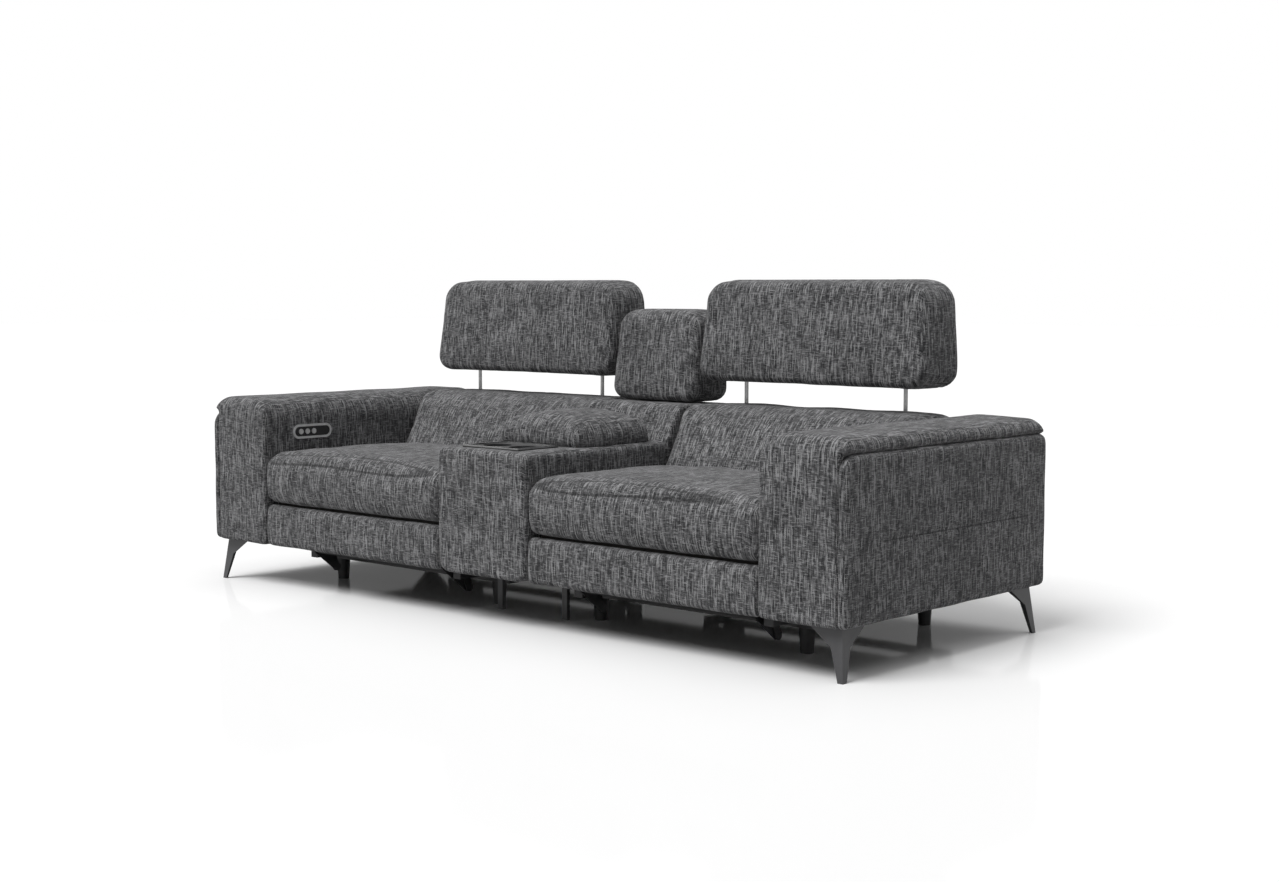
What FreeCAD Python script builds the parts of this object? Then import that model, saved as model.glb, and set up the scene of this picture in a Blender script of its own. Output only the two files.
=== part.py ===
import FreeCAD, Part
import math
import os
import Sketcher

# Two seat reclining sofa with a fixed console between the seats.
# Row frame: +X to the right as seen from the front, +Y to the back, +Z up.
# The origin is on the floor, under the middle of the sofa.

V = FreeCAD.Vector
SIDES = (("left", -1), ("right", 1))
PLANES = {"X": "YZ_Plane", "Y": "XZ_Plane", "Z": "XY_Plane"}
TINY = 0.001

doc = FreeCAD.newDocument("sofa")
sheet = doc.addObject("Spreadsheet::Sheet", "Sizes")
sub_parts = {}


class Length:
    """A size with the sheet formula that gives it, so that a sum of sizes is a formula too."""

    def __init__(self, value, formula):
        self.value = value
        self.formula = formula

    def __add__(self, other):
        other = as_length(other)
        return Length(self.value + other.value, f"({self.formula} + {other.formula})")

    def __sub__(self, other):
        other = as_length(other)
        return Length(self.value - other.value, f"({self.formula} - {other.formula})")

    def __mul__(self, other):
        other = as_length(other)
        return Length(self.value * other.value, f"({self.formula} * {other.formula})")

    def __truediv__(self, other):
        other = as_length(other)
        return Length(self.value / other.value, f"({self.formula} / {other.formula})")

    def __neg__(self):
        return self * -1

    def __rsub__(self, other):
        return as_length(other) - self

    __radd__ = __add__
    __rmul__ = __mul__


def as_length(thing):
    if isinstance(thing, Length):
        return thing
    return Length(float(thing), f"({float(thing):.6f})")


def cosine(angle):
    return Length(math.cos(math.radians(angle.value)), f"cos({angle.formula} * 1 deg)")


def sine(angle):
    return Length(math.sin(math.radians(angle.value)), f"sin({angle.formula} * 1 deg)")


def size(alias, value):
    """Put one driving size in the sheet's next row under its alias, and read it back."""
    row = size.rows = size.rows + 1
    sheet.set(f"A{row}", alias)
    sheet.set(f"B{row}", str(value))
    sheet.setAlias(f"B{row}", alias)
    sheet.recompute()
    return Length(float(sheet.get(alias)), f"Sizes.{alias}")


size.rows = 0

# Overall body
overall_width = size("overall_width", 2480)
overall_depth = size("overall_depth", 947)
arm_width = size("arm_width", 266)
console_width = size("console_width", 352)
underside = size("underside", 130)
cushion_bulge = size("cushion_bulge", 5)
side_gap = size("side_gap", 3)
seat_clear = size("seat_clear", 0.3)
pin_clear = size("pin_clear", 0.1)

# Arms
arm_top = size("arm_top", 592)
arm_wall = size("arm_wall", 50)
arm_panel_thickness = size("arm_panel_thickness", 28)
arm_panel_top = size("arm_panel_top", 545)
arm_band_setback = size("arm_band_setback", 8)
arm_inner_round = size("arm_inner_round", 72)
arm_outer_round = size("arm_outer_round", 30)
arm_end_round = size("arm_end_round", 47)
panel_corner_round = size("panel_corner_round", 20)
panel_edge_round = size("panel_edge_round", 11)
frame_board = size("frame_board", 20)

# Corner legs
leg_inset_top = size("leg_inset_top", 34)
leg_inset_tip = size("leg_inset_tip", 20)
leg_wing = size("leg_wing", 92)
leg_knee = size("leg_knee", 34)
leg_knee_height = size("leg_knee_height", 82)
leg_tip = size("leg_tip", 16)
leg_sheet = size("leg_sheet", 4)
leg_plate = size("leg_plate", 5)
screw_radius = size("screw_radius", 3)
screw_length = size("screw_length", 22)
screw_head_radius = size("screw_head_radius", 5.5)
screw_head_height = size("screw_head_height", 3)
screw_near = size("screw_near", 30)
screw_far = size("screw_far", 66)

# Base under the seats
foot_top_radius = size("foot_top_radius", 22)
foot_bottom_radius = size("foot_bottom_radius", 17)
foot_height = size("foot_height", 67)
foot_from_arm = size("foot_from_arm", 48)
foot_from_console = size("foot_from_console", 29)
cross_rail_height = size("cross_rail_height", 17)
cross_rail_width = size("cross_rail_width", 40)
cross_rail_end = size("cross_rail_end", 32)
front_rail_from_front = size("front_rail_from_front", 276)
rear_rail_from_rear = size("rear_rail_from_rear", 117)
slide_rail_height = size("slide_rail_height", 36)
slide_rail_width = size("slide_rail_width", 30)
slide_rail_from_front = size("slide_rail_from_front", 141)
slide_rail_from_rear = size("slide_rail_from_rear", 81)
rail_from_seat_side = size("rail_from_seat_side", 66)

# Seats
seat_underside = size("seat_underside", 264)
seat_side_top = size("seat_side_top", 420)
seat_crown = size("seat_crown", 17)
seat_front_round = size("seat_front_round", 36)
seat_edge_round = size("seat_edge_round", 22)
deck_thickness = size("deck_thickness", 20)
deck_setback = size("deck_setback", 59)
deck_margin = size("deck_margin", 6)
side_plate = size("side_plate", 5)
slide_shoe = size("slide_shoe", 26)

# Footrests
footrest_thickness = size("footrest_thickness", 33)
footrest_board = size("footrest_board", 12)
footrest_gap = size("footrest_gap", 6)
footrest_round = size("footrest_round", 10)
footrest_setback = size("footrest_setback", 4)
footrest_pivot_height = size("footrest_pivot_height", 226)
footrest_pivot_from_front = size("footrest_pivot_from_front", 141)
link_length = size("link_length", 190)
lower_link_angle = size("lower_link_angle", -68.4)
upper_link_angle = size("upper_link_angle", 142)
link_width = size("link_width", 24)
link_thickness = size("link_thickness", 5)
link_space = size("link_space", 1.5)
link_from_rail = size("link_from_rail", 22)
pivot_radius = size("pivot_radius", 6)
torque_tube_radius = size("torque_tube_radius", 11)
brace_radius = size("brace_radius", 7)

# Actuators
motor_length = size("motor_length", 165)
motor_width = size("motor_width", 72)
motor_height = size("motor_height", 58)
motor_tube_radius = size("motor_tube_radius", 15)
motor_tube_gap = size("motor_tube_gap", 67)
motor_offset = size("motor_offset", 130)
motor_rear = size("motor_rear", 40)

# Backs
back_depth = size("back_depth", 393)
back_gap = size("back_gap", 5)
back_arm_clear = size("back_arm_clear", 15.5)
back_bend_height = size("back_bend_height", 400)
back_lean = size("back_lean", 81)
back_shoulder_height = size("back_shoulder_height", 556)
back_top = size("back_top", 591)
back_top_front = size("back_top_front", 160)
back_top_drop = size("back_top_drop", 8)
back_edge_round = size("back_edge_round", 20)
back_slab = size("back_slab", 184)
back_cap_underside = size("back_cap_underside", 521)
back_pivot_in = size("back_pivot_in", 52)
back_pivot_height = size("back_pivot_height", 300)
back_pivot_radius = size("back_pivot_radius", 8)
back_boss_radius = size("back_boss_radius", 18)
back_frame_from_rail = size("back_frame_from_rail", 8.5)
back_frame_arm = size("back_frame_arm", 33)
back_upright_depth = size("back_upright_depth", 120)
rear_cover_thickness = size("rear_cover_thickness", 16)
rear_panel_thickness = size("rear_panel_thickness", 24)
rear_panel_top = size("rear_panel_top", 352)
rear_run = size("rear_run", 7)

# Headrests
rod_radius = size("rod_radius", 6)
rod_from_seat_side = size("rod_from_seat_side", 114)
rod_from_rear = size("rod_from_rear", 121)
rod_sleeve = size("rod_sleeve", 4)
rod_clear = size("rod_clear", 0.3)
rod_engaged = size("rod_engaged", 172)
rod_end_room = size("rod_end_room", 20)
rod_in_pad = size("rod_in_pad", 60)
guide_bottom = size("guide_bottom", 385)
headrest_bottom = size("headrest_bottom", 660)
headrest_height = size("headrest_height", 297)
headrest_depth = size("headrest_depth", 190)
headrest_top_round = size("headrest_top_round", 62)
headrest_bottom_round = size("headrest_bottom_round", 42)
headrest_side_lean = size("headrest_side_lean", 16)
headrest_recede = size("headrest_recede", 34)
headrest_crown = size("headrest_crown", 16)
centre_headrest_half = size("centre_headrest_half", 168)
centre_headrest_height = size("centre_headrest_height", 276)
centre_headrest_depth = size("centre_headrest_depth", 167)
centre_headrest_gap = size("centre_headrest_gap", 1)
centre_rod_spread = size("centre_rod_spread", 62)

# Console
console_top = size("console_top", 487)
console_round = size("console_round", 20)
console_rear = size("console_rear", 352)
centre_back_half = size("centre_back_half", 173)
centre_back_bottom = size("centre_back_bottom", 200)
tray_front = size("tray_front", 41)
tray_length = size("tray_length", 160)
tray_half = size("tray_half", 110)
tray_depth = size("tray_depth", 76)
tray_lip = size("tray_lip", 3)
cup_radius = size("cup_radius", 41)
cup_depth = size("cup_depth", 66)
cup_spread = size("cup_spread", 52)
trim_width = size("trim_width", 7)
trim_height = size("trim_height", 4)
bin_wall = size("bin_wall", 44)
bin_front = size("bin_front", 246)
bin_rear_wall = size("bin_rear_wall", 58)
bin_floor = size("bin_floor", 250)
lid_half = size("lid_half", 163)
lid_front = size("lid_front", 222)
lid_rear_gap = size("lid_rear_gap", 42)
lid_board = size("lid_board", 12)
lid_pad_side = size("lid_pad_side", 46)
lid_crown = size("lid_crown", 34)
lid_end_round = size("lid_end_round", 40)
hinge_radius = size("hinge_radius", 5)
hinge_pin_radius = size("hinge_pin_radius", 2.5)
hinge_knuckle = size("hinge_knuckle", 24)
hinge_offset = size("hinge_offset", 90)
hinge_leaf = size("hinge_leaf", 2)
console_leg_spread = size("console_leg_spread", 130)
console_leg_from_front = size("console_leg_from_front", 211)
console_leg_width = size("console_leg_width", 20)
console_leg_depth = size("console_leg_depth", 12)
console_leg_plate = size("console_leg_plate", 4)

# Controls on the inner face of each arm
control_length = size("control_length", 153)
control_height = size("control_height", 45)
control_front = size("control_front", 116)
control_middle = size("control_middle", 479)
bezel_width = size("bezel_width", 7)
bezel_depth = size("bezel_depth", 3.5)
housing_depth = size("housing_depth", 22)
housing_recess = size("housing_recess", 1.5)
button_radius = size("button_radius", 8.5)
button_pitch = size("button_pitch", 25.5)
first_button = size("first_button", 31)
button_proud = size("button_proud", 2.5)
button_tail = size("button_tail", 6)
button_room = size("button_room", 2)
lamp_radius = size("lamp_radius", 2.5)

# Places that follow from the sizes
half_width = overall_width / 2
rear = overall_depth / 2
front = cushion_bulge - rear
arm_inside = half_width - arm_width
console_side = console_width / 2
bay_middle = (arm_inside + console_side) / 2
seat_half = (arm_inside - console_side) / 2 - side_gap
panel_inside = half_width - arm_panel_thickness
frame_inside = arm_inside + arm_wall
frame_front = front + arm_wall
frame_rear = rear - arm_wall
frame_top = arm_panel_top - frame_board
rail_top = foot_height + cross_rail_height
slide_top = rail_top + slide_rail_height
front_rail = front + front_rail_from_front
rear_rail = rear - rear_rail_from_rear
back_front = rear - back_depth
back_rear = rear - rear_panel_thickness - rear_run
back_pivot = back_front + back_pivot_in
back_underside = back_pivot_height + back_frame_arm / 2 + back_arm_clear
seat_rear = back_front - back_gap
deck_under = seat_underside - deck_thickness
footrest_front = front + footrest_setback
footrest_board_front = footrest_front + footrest_thickness
footrest_board_rear = footrest_board_front + footrest_board
footrest_top = seat_underside - footrest_gap
pivot_one = (front + footrest_pivot_from_front, footrest_pivot_height)
joint_one = (pivot_one[0] + link_length * cosine(lower_link_angle),
             pivot_one[1] + link_length * sine(lower_link_angle))
joint_two = (joint_one[0] + link_length * cosine(upper_link_angle),
             joint_one[1] + link_length * sine(upper_link_angle))
rail_spread = seat_half - rail_from_seat_side
lower_link_spread = rail_spread - link_from_rail
upper_link_spread = lower_link_spread - link_thickness - link_space
ear_spread = upper_link_spread - link_thickness - link_space
back_frame_spread = rail_spread - back_frame_from_rail
rod_place = rear - rod_from_rear
rod_spread = seat_half - rod_from_seat_side
headrest_front = back_rear - headrest_depth
console_end = rear - console_rear
lid_end = console_end - lid_rear_gap
tray_start = front + tray_front
tray_end = tray_start + tray_length
lid_under = console_top + seat_clear
lid_board_top = lid_under + lid_board


def new_body(label):
    """An empty body that becomes one node."""
    body = doc.addObject("PartDesign::Body", label)
    body.Label = label
    sub_parts[label] = body
    return body


def place(thing, x=0, y=0, z=0, angle=None):
    """Bind an object's place, and its turn about X, to the sheet."""
    if angle is not None:
        thing.Placement = FreeCAD.Placement(V(0, 0, 0), FreeCAD.Rotation(V(1, 0, 0), 1))
        thing.setExpression("Placement.Rotation.Angle", f"{angle.formula} * 1 deg")
    for coordinate, value in zip("xyz", (x, y, z)):
        thing.setExpression(f"Placement.Base.{coordinate}", as_length(value).formula)


def new_sketch(body, axis, at):
    """A sketch square to an axis, at a coordinate along it."""
    plane = next(item for item in body.Origin.OriginFeatures if item.Role == PLANES[axis])
    sketch = body.newObject("Sketcher::SketchObject", f"outline_{axis}")
    sketch.AttachmentSupport = [(plane, "")]
    sketch.MapMode = "FlatFace"
    offset = -at if axis == "Y" else at
    sketch.setExpression("AttachmentOffset.Base.z", offset.formula)
    return sketch


def bind(sketch, kind, targets, length):
    """Add one dimension to a sketch and bind it to the sheet."""
    index = sketch.addConstraint(Sketcher.Constraint(kind, *targets, length.value))
    sketch.setExpression(f"Constraints[{index}]", length.formula)


def toward(start, end):
    """Direction between two corners of a side that is square to the frame."""
    along = end[0].value - start[0].value
    up = end[1].value - start[1].value
    if abs(along) > TINY and abs(up) > TINY:
        raise ValueError("a rounded corner needs sides square to the frame")
    return (along > TINY) - (along < -TINY), (up > TINY) - (up < -TINY)


def outline_pieces(corners):
    """Straight sides and quarter rounds of a closed outline, in order."""
    corners = [[as_length(number) for number in corner] for corner in corners]
    stops = []
    for index, corner in enumerate(corners):
        point = (corner[0], corner[1])
        if len(corner) == 2:
            stops.append((point, point, None, None))
            continue
        radius = corner[2]
        back = toward(point, corners[index - 1])
        ahead = toward(point, corners[(index + 1) % len(corners)])
        enter = (point[0] + radius * back[0], point[1] + radius * back[1])
        leave = (point[0] + radius * ahead[0], point[1] + radius * ahead[1])
        middle = (enter[0] + radius * ahead[0], enter[1] + radius * ahead[1])
        stops.append((enter, leave, radius, middle))
    pieces = []
    for index, (enter, leave, radius, middle) in enumerate(stops):
        if radius is not None:
            pieces.append((enter, leave, radius, middle))
        following = stops[(index + 1) % len(stops)][0]
        span = math.hypot(following[0].value - leave[0].value, following[1].value - leave[1].value)
        if span > TINY:
            pieces.append((leave, following, None, None))
    return pieces


def flat(point):
    return V(point[0].value, point[1].value, 0)


def draw_outline(sketch, corners):
    """Closed outline; a corner that is given with a radius is rounded."""
    ends = []
    for start, end, radius, middle in outline_pieces(corners):
        if radius is None:
            index = sketch.addGeometry(Part.LineSegment(flat(start), flat(end)), False)
            ends.append((index, 1, 2, start))
            continue
        circle = Part.Circle(flat(middle), V(0, 0, 1), radius.value)
        spoke_in = flat(start) - flat(middle)
        spoke_out = flat(end) - flat(middle)
        turns_left = spoke_in.cross(spoke_out).z > 0
        first, last = (spoke_in, spoke_out) if turns_left else (spoke_out, spoke_in)
        from_angle = math.atan2(first.y, first.x)
        to_angle = math.atan2(last.y, last.x)
        index = sketch.addGeometry(Part.ArcOfCircle(circle, from_angle, to_angle), False)
        ends.append((index, 1, 2, start) if turns_left else (index, 2, 1, start))
        bind(sketch, "Radius", (index,), radius)
    for number, (index, start_end, far_end, start) in enumerate(ends):
        next_index, next_start = ends[(number + 1) % len(ends)][:2]
        joint = Sketcher.Constraint("Coincident", index, far_end, next_index, next_start)
        sketch.addConstraint(joint)
        bind(sketch, "DistanceX", (-1, 1, index, start_end), start[0])
        bind(sketch, "DistanceY", (-1, 1, index, start_end), start[1])


def draw_circle(sketch, across, up, radius):
    across, up, radius = as_length(across), as_length(up), as_length(radius)
    circle = Part.Circle(V(across.value, up.value, 0), V(0, 0, 1), radius.value)
    index = sketch.addGeometry(circle, False)
    bind(sketch, "Radius", (index,), radius)
    bind(sketch, "DistanceX", (-1, 1, index, 3), across)
    bind(sketch, "DistanceY", (-1, 1, index, 3), up)


def block(body, axis, low, high, outlines=(), circles=(), cut=False):
    """Add or cut the solid that outlines sweep between two coordinates along an axis."""
    low, high = as_length(low), as_length(high)
    sketch = new_sketch(body, axis, high if cut == (axis != "Y") else low)
    for corners in outlines:
        draw_outline(sketch, corners)
    for across, up, radius in circles:
        draw_circle(sketch, across, up, radius)
    feature = body.newObject("PartDesign::Pocket" if cut else "PartDesign::Pad", "step")
    feature.Profile = sketch
    feature.setExpression("Length", (high - low).formula)
    sketch.Visibility = False
    body.Tip = feature
    return feature


def rectangle(low_x, high_x, low_y, high_y, radius=None):
    corners = ((low_x, low_y), (high_x, low_y), (high_x, high_y), (low_x, high_y))
    if radius is None:
        return corners
    return tuple((*corner, radius) for corner in corners)


def span(near, far, sign):
    """Low and high coordinate of a stretch that lies on one side of the middle."""
    near, far = as_length(near), as_length(far)
    return (near, far) if sign > 0 else (-far, -near)


def about(middle, half):
    return middle - half, middle + half


def lies_at(axis, value):
    """Test for edges that lie in the plane at one coordinate."""
    def test(edge):
        box = edge.BoundBox
        low, high = getattr(box, f"{axis}Min"), getattr(box, f"{axis}Max")
        return abs(low - value.value) < TINY and abs(high - value.value) < TINY
    return test


def round_edges(body, radius, *tests):
    """Round every edge of the body that one of the tests picks."""
    doc.recompute()
    base = body.Tip
    edges = base.Shape.Edges
    names = [f"Edge{number + 1}" for number, edge in enumerate(edges) if any(test(edge) for test in tests)]
    fillet = body.newObject("PartDesign::Fillet", "rounding")
    fillet.Base = (base, names)
    fillet.setExpression("Radius", radius.formula)
    body.Tip = fillet
    return fillet


def group(label, members):
    """One node of several like solids that stand apart."""
    joined = doc.addObject("Part::MultiFuse", label)
    joined.Label = label
    joined.Shapes = members
    sub_parts[label] = joined
    return joined


def arc(start, middle, end):
    return Part.Arc(V(*start), V(*middle), V(*end)).toShape()


def line(start, end):
    return Part.LineSegment(V(*start), V(*end)).toShape()


def soft_form(label, wires, cuts=()):
    """A closed cushion through a row of closed outlines, less what is cut from it."""
    solid = Part.makeLoft(wires, True, True)
    for tool in cuts:
        solid = solid.cut(tool)
    feature = doc.addObject("Part::Feature", label)
    feature.Label = label
    feature.Shape = solid
    feature.Placement = FreeCAD.Placement()
    sub_parts[label] = feature
    return feature


def side_stations(low, high, radius, steps=4, middles=5):
    """Places across a cushion with how far each end draws in and how far the middle crowns.

    Near each side the outline draws in as a quarter circle does, and between the sides the
    crown rises as one minus the square of the distance from the middle.
    """
    half = (high - low) / 2
    middle = (high + low) / 2
    rows = []
    for step in range(steps + 1):
        angle = math.radians(90 * step / steps)
        rows.append((half - radius * (1 - math.cos(angle)), radius * (1 - math.sin(angle))))
    places = [(-offset, inset) for offset, inset in rows]
    inner = half - radius
    places += [(inner * (2 * step / (middles + 1) - 1), 0) for step in range(1, middles + 1)]
    places += [(offset, inset) for offset, inset in reversed(rows)]
    return [(middle + offset, inset, 1 - (offset / half) ** 2) for offset, inset in places]


def rounded_outline(half, bottom, top, low_radius, high_radius, lean, at):
    """Front outline of a headrest: quarter rounds at four corners and sides that lean in."""
    diagonal = math.sqrt(0.5)

    def corner(sign_x, sign_z, side, level, radius):
        start = (sign_x * side, level - sign_z * radius)
        end = (sign_x * (side - radius), level)
        hub = (sign_x * (side - radius), level - sign_z * radius)
        mid = (hub[0] + sign_x * radius * diagonal, hub[1] + sign_z * radius * diagonal)
        return [(point[0], point[1]) for point in (start, mid, end)]

    lower_right = corner(1, -1, half, bottom, low_radius)
    upper_right = corner(1, 1, half - lean, top, high_radius)
    upper_left = corner(-1, 1, half - lean, top, high_radius)
    lower_left = corner(-1, -1, half, bottom, low_radius)
    y_of, x_middle = at

    def lift(point):
        return x_middle + point[0], y_of(point[1]), point[1]

    rounds = [lower_right[::-1], upper_right, upper_left[::-1], lower_left]
    edges = []
    for index, points in enumerate(rounds):
        edges.append(arc(*[lift(point) for point in points]))
        edges.append(line(lift(points[2]), lift(rounds[(index + 1) % 4][0])))
    return Part.Wire(edges)


def arm_frame(side, sign):
    """Timber ladder frame inside the arm, with pilot holes for the leg screws."""
    body = new_body(f"{side}_arm_frame")
    low, high = span(frame_inside + seat_clear, panel_inside - seat_clear, sign)
    start = frame_front + seat_clear
    end = frame_rear - seat_clear
    block(body, "X", low, high, [rectangle(start, end, underside, frame_top)])
    bays = 4
    bay = (end - start - frame_board * (bays + 1)) / bays
    windows = []
    for number in range(bays):
        near = start + frame_board + (bay + frame_board) * number
        windows.append(rectangle(near, near + bay, underside + frame_board, frame_top - frame_board))
    block(body, "X", low, high, windows, cut=True)
    pilots = [(*spot, screw_radius) for spot in screw_spots(sign)]
    block(body, "Z", underside, underside + frame_board, circles=pilots, cut=True)


def arm_upholstery(side, sign):
    """Padded front, inner face and top of the arm over a hollow for the frame."""
    body = new_body(f"{side}_arm_upholstery")
    band = half_width - arm_band_setback
    shoulder = arm_panel_top + seat_clear
    outline = (
        (arm_inside * sign, underside, panel_edge_round),
        ((panel_inside - seat_clear) * sign, underside),
        ((panel_inside - seat_clear) * sign, shoulder),
        (band * sign, shoulder),
        (band * sign, arm_top, arm_outer_round),
        (arm_inside * sign, arm_top, arm_inner_round),
    )
    block(body, "Y", front, rear, [outline])
    round_edges(body, panel_edge_round, lies_at("Y", front), lies_at("Y", rear))
    margin = arm_end_round
    kept = (
        (front, underside - margin),
        (rear, underside - margin),
        (rear, arm_top, arm_end_round),
        (front, arm_top, arm_end_round),
    )
    around = rectangle(front - margin, rear + margin, underside - margin * 2, arm_top + margin)
    block(body, "X", *span(arm_inside - margin, half_width + margin, sign), [around, kept], cut=True)
    hollow = rectangle(frame_front, frame_rear, underside, frame_top)
    low, high = span(frame_inside, panel_inside, sign)
    block(body, "X", low, high, [hollow], cut=True)
    low, high = span(arm_inside, arm_inside + housing_depth + seat_clear, sign)
    block(body, "X", low, high, [control_pill(bezel_width - seat_clear)], cut=True)


def arm_side_panel(side, sign):
    """Padded panel on the outside of the arm."""
    body = new_body(f"{side}_arm_side_panel")
    low, high = span(panel_inside, half_width, sign)
    outline = (
        (front, underside),
        (rear, underside),
        (rear, arm_panel_top, panel_corner_round),
        (front, arm_panel_top, panel_corner_round),
    )
    block(body, "X", low, high, [outline])
    round_edges(body, panel_edge_round, lies_at("X", half_width * sign))


def control_pill(inset):
    """Long pill outline on the inner face of an arm, drawn in by an inset."""
    start = front + control_front + inset
    end = front + control_front + control_length - inset
    half = control_height / 2 - inset
    return rectangle(start, end, control_middle - half, control_middle + half, half)


def button_place(number):
    return front + control_front + first_button + button_pitch * number


def control_bezel(side, sign):
    body = doc.addObject("PartDesign::Body", f"{side}_bezel")
    low, high = span(arm_inside - bezel_depth, arm_inside, sign)
    block(body, "X", low, high, [control_pill(as_length(0)), control_pill(bezel_width)])
    return body


def control_housing(side, sign):
    body = doc.addObject("PartDesign::Body", f"{side}_housing")
    face = arm_inside - bezel_depth + housing_recess
    low, high = span(face, arm_inside + housing_depth, sign)
    block(body, "X", low, high, [control_pill(bezel_width + seat_clear)])
    bores = [(button_place(number), control_middle, button_radius + pin_clear) for number in range(3)]
    low, high = span(face, face + button_tail + button_room, sign)
    block(body, "X", low, high, circles=bores, cut=True)
    lamp = [(button_place(4) - button_pitch / 3, control_middle, lamp_radius)]
    low, high = span(face - housing_recess, face, sign)
    block(body, "X", low, high, circles=lamp)
    return body


def control_button(side, sign, number, name):
    body = new_body(f"{side}_button_{name}")
    face = arm_inside - bezel_depth + housing_recess
    low, high = span(face - button_proud, face + button_tail, sign)
    block(body, "X", low, high, circles=[(button_place(number), control_middle, button_radius)])


def leg_corner(sign_x, sign_y, inset):
    """Outer corner of a leg's angle section, a given inset in from the arm's corner."""
    edge = rear if sign_y > 0 else -front
    return (half_width - inset) * sign_x, (edge - inset) * sign_y


def leg_screw_spots(sign_x, sign_y):
    """Places of the three screws of one corner leg."""
    x, y = leg_corner(sign_x, sign_y, leg_inset_top)
    steps = ((screw_near, screw_near), (screw_far, screw_near), (screw_near, screw_far))
    return [(x - across * sign_x, y - along * sign_y) for across, along in steps]


def screw_spots(sign_x):
    """Places of the screws of the two legs under one arm."""
    return leg_screw_spots(sign_x, -1) + leg_screw_spots(sign_x, 1)


def corner_leg(label, sign_x, sign_y):
    """Bent sheet leg: two wings that meet in a ridge, under a screwed plate."""
    body = new_body(label)
    levels = (
        (as_length(0), leg_inset_tip, leg_tip),
        (leg_knee_height, None, leg_knee),
        (underside - leg_plate, leg_inset_top, leg_wing),
    )
    height = underside - leg_plate
    sketches = []
    for level, inset, reach in levels:
        if inset is None:
            inset = leg_inset_tip + (leg_inset_top - leg_inset_tip) * level / height
        sketch = new_sketch(body, "Z", level)
        x, y = leg_corner(sign_x, sign_y, inset)
        far_x, far_y = x - reach * sign_x, y - reach * sign_y
        in_x, in_y = x - leg_sheet * sign_x, y - leg_sheet * sign_y
        draw_outline(sketch, ((x, y), (far_x, y), (far_x, in_y), (in_x, in_y), (in_x, far_y), (x, far_y)))
        sketches.append(sketch)
    loft = body.newObject("PartDesign::AdditiveLoft", "blade")
    loft.Profile = sketches[0]
    loft.Sections = sketches[1:]
    loft.Ruled = True
    body.Tip = loft
    x, y = leg_corner(sign_x, sign_y, leg_inset_top)
    far_x, far_y = x - leg_wing * sign_x, y - leg_wing * sign_y
    block(body, "Z", height, underside, [((x, y), (far_x, y), (far_x, far_y), (x, far_y))])
    holes = [(*spot, screw_radius + pin_clear) for spot in leg_screw_spots(sign_x, sign_y)]
    block(body, "Z", height, underside, circles=holes, cut=True)


def leg_screws():
    """Pan head screws that hold the legs to the arm frames."""
    members = []
    for side, sign in SIDES:
        for number, (x, y) in enumerate(screw_spots(sign)):
            body = doc.addObject("PartDesign::Body", f"{side}_screw_{number}")
            head_top = underside - leg_plate
            block(body, "Z", head_top - screw_head_height, head_top, circles=[(x, y, screw_head_radius)])
            shank_top = head_top + screw_length
            block(body, "Z", head_top, shank_top, circles=[(x, y, screw_radius - pin_clear)])
            members.append(body)
    group("leg_screws", members)


def mechanism_feet():
    """Tapered feet under the cross rails."""
    members = []
    for side, sign in SIDES:
        for x in (arm_inside - foot_from_arm, console_side + foot_from_console):
            for y in (front_rail, rear_rail):
                foot = doc.addObject("Part::Cone", f"{side}_foot")
                foot.setExpression("Radius1", foot_bottom_radius.formula)
                foot.setExpression("Radius2", foot_top_radius.formula)
                foot.setExpression("Height", foot_height.formula)
                place(foot, x * sign, y, 0)
                members.append(foot)
    group("mechanism_feet", members)


def cross_rails():
    """Rails from the console to the arm, with risers that carry both."""
    members = []
    for side, sign in SIDES:
        for name, middle in (("front", front_rail), ("rear", rear_rail)):
            body = doc.addObject("PartDesign::Body", f"{side}_{name}_cross_rail")
            start = console_side - cross_rail_end
            end = arm_inside + cross_rail_end
            low, high = about(middle, cross_rail_width / 2)
            riser = cross_rail_end - side_gap
            corners = (
                (start, foot_height),
                (end, foot_height),
                (end, underside),
                (end - riser, underside),
                (end - riser, rail_top),
                (start + riser, rail_top),
                (start + riser, underside),
                (start, underside),
            )
            block(body, "Y", low, high, [[(x * sign, z) for x, z in corners]])
            members.append(body)
    group("base_cross_rails", members)


def slide_rails():
    """Rails along the seats that the seat frames run on."""
    members = []
    for side, sign in SIDES:
        for end in (-1, 1):
            body = doc.addObject("PartDesign::Body", f"{side}_slide_rail")
            low, high = about(bay_middle * sign + rail_spread * end, slide_rail_width / 2)
            start = front + slide_rail_from_front
            stop = rear - slide_rail_from_rear
            block(body, "X", low, high, [rectangle(start, stop, rail_top, slide_top)])
            members.append(body)
    group("seat_slide_rails", members)


def seat_deck(side, sign):
    """Board that carries the seat cushion."""
    body = new_body(f"{side}_seat_deck")
    low, high = about(bay_middle * sign, seat_half - deck_margin)
    corners = rectangle(front + deck_setback, seat_rear, deck_under, seat_underside)
    block(body, "X", low, high, [corners])


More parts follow.
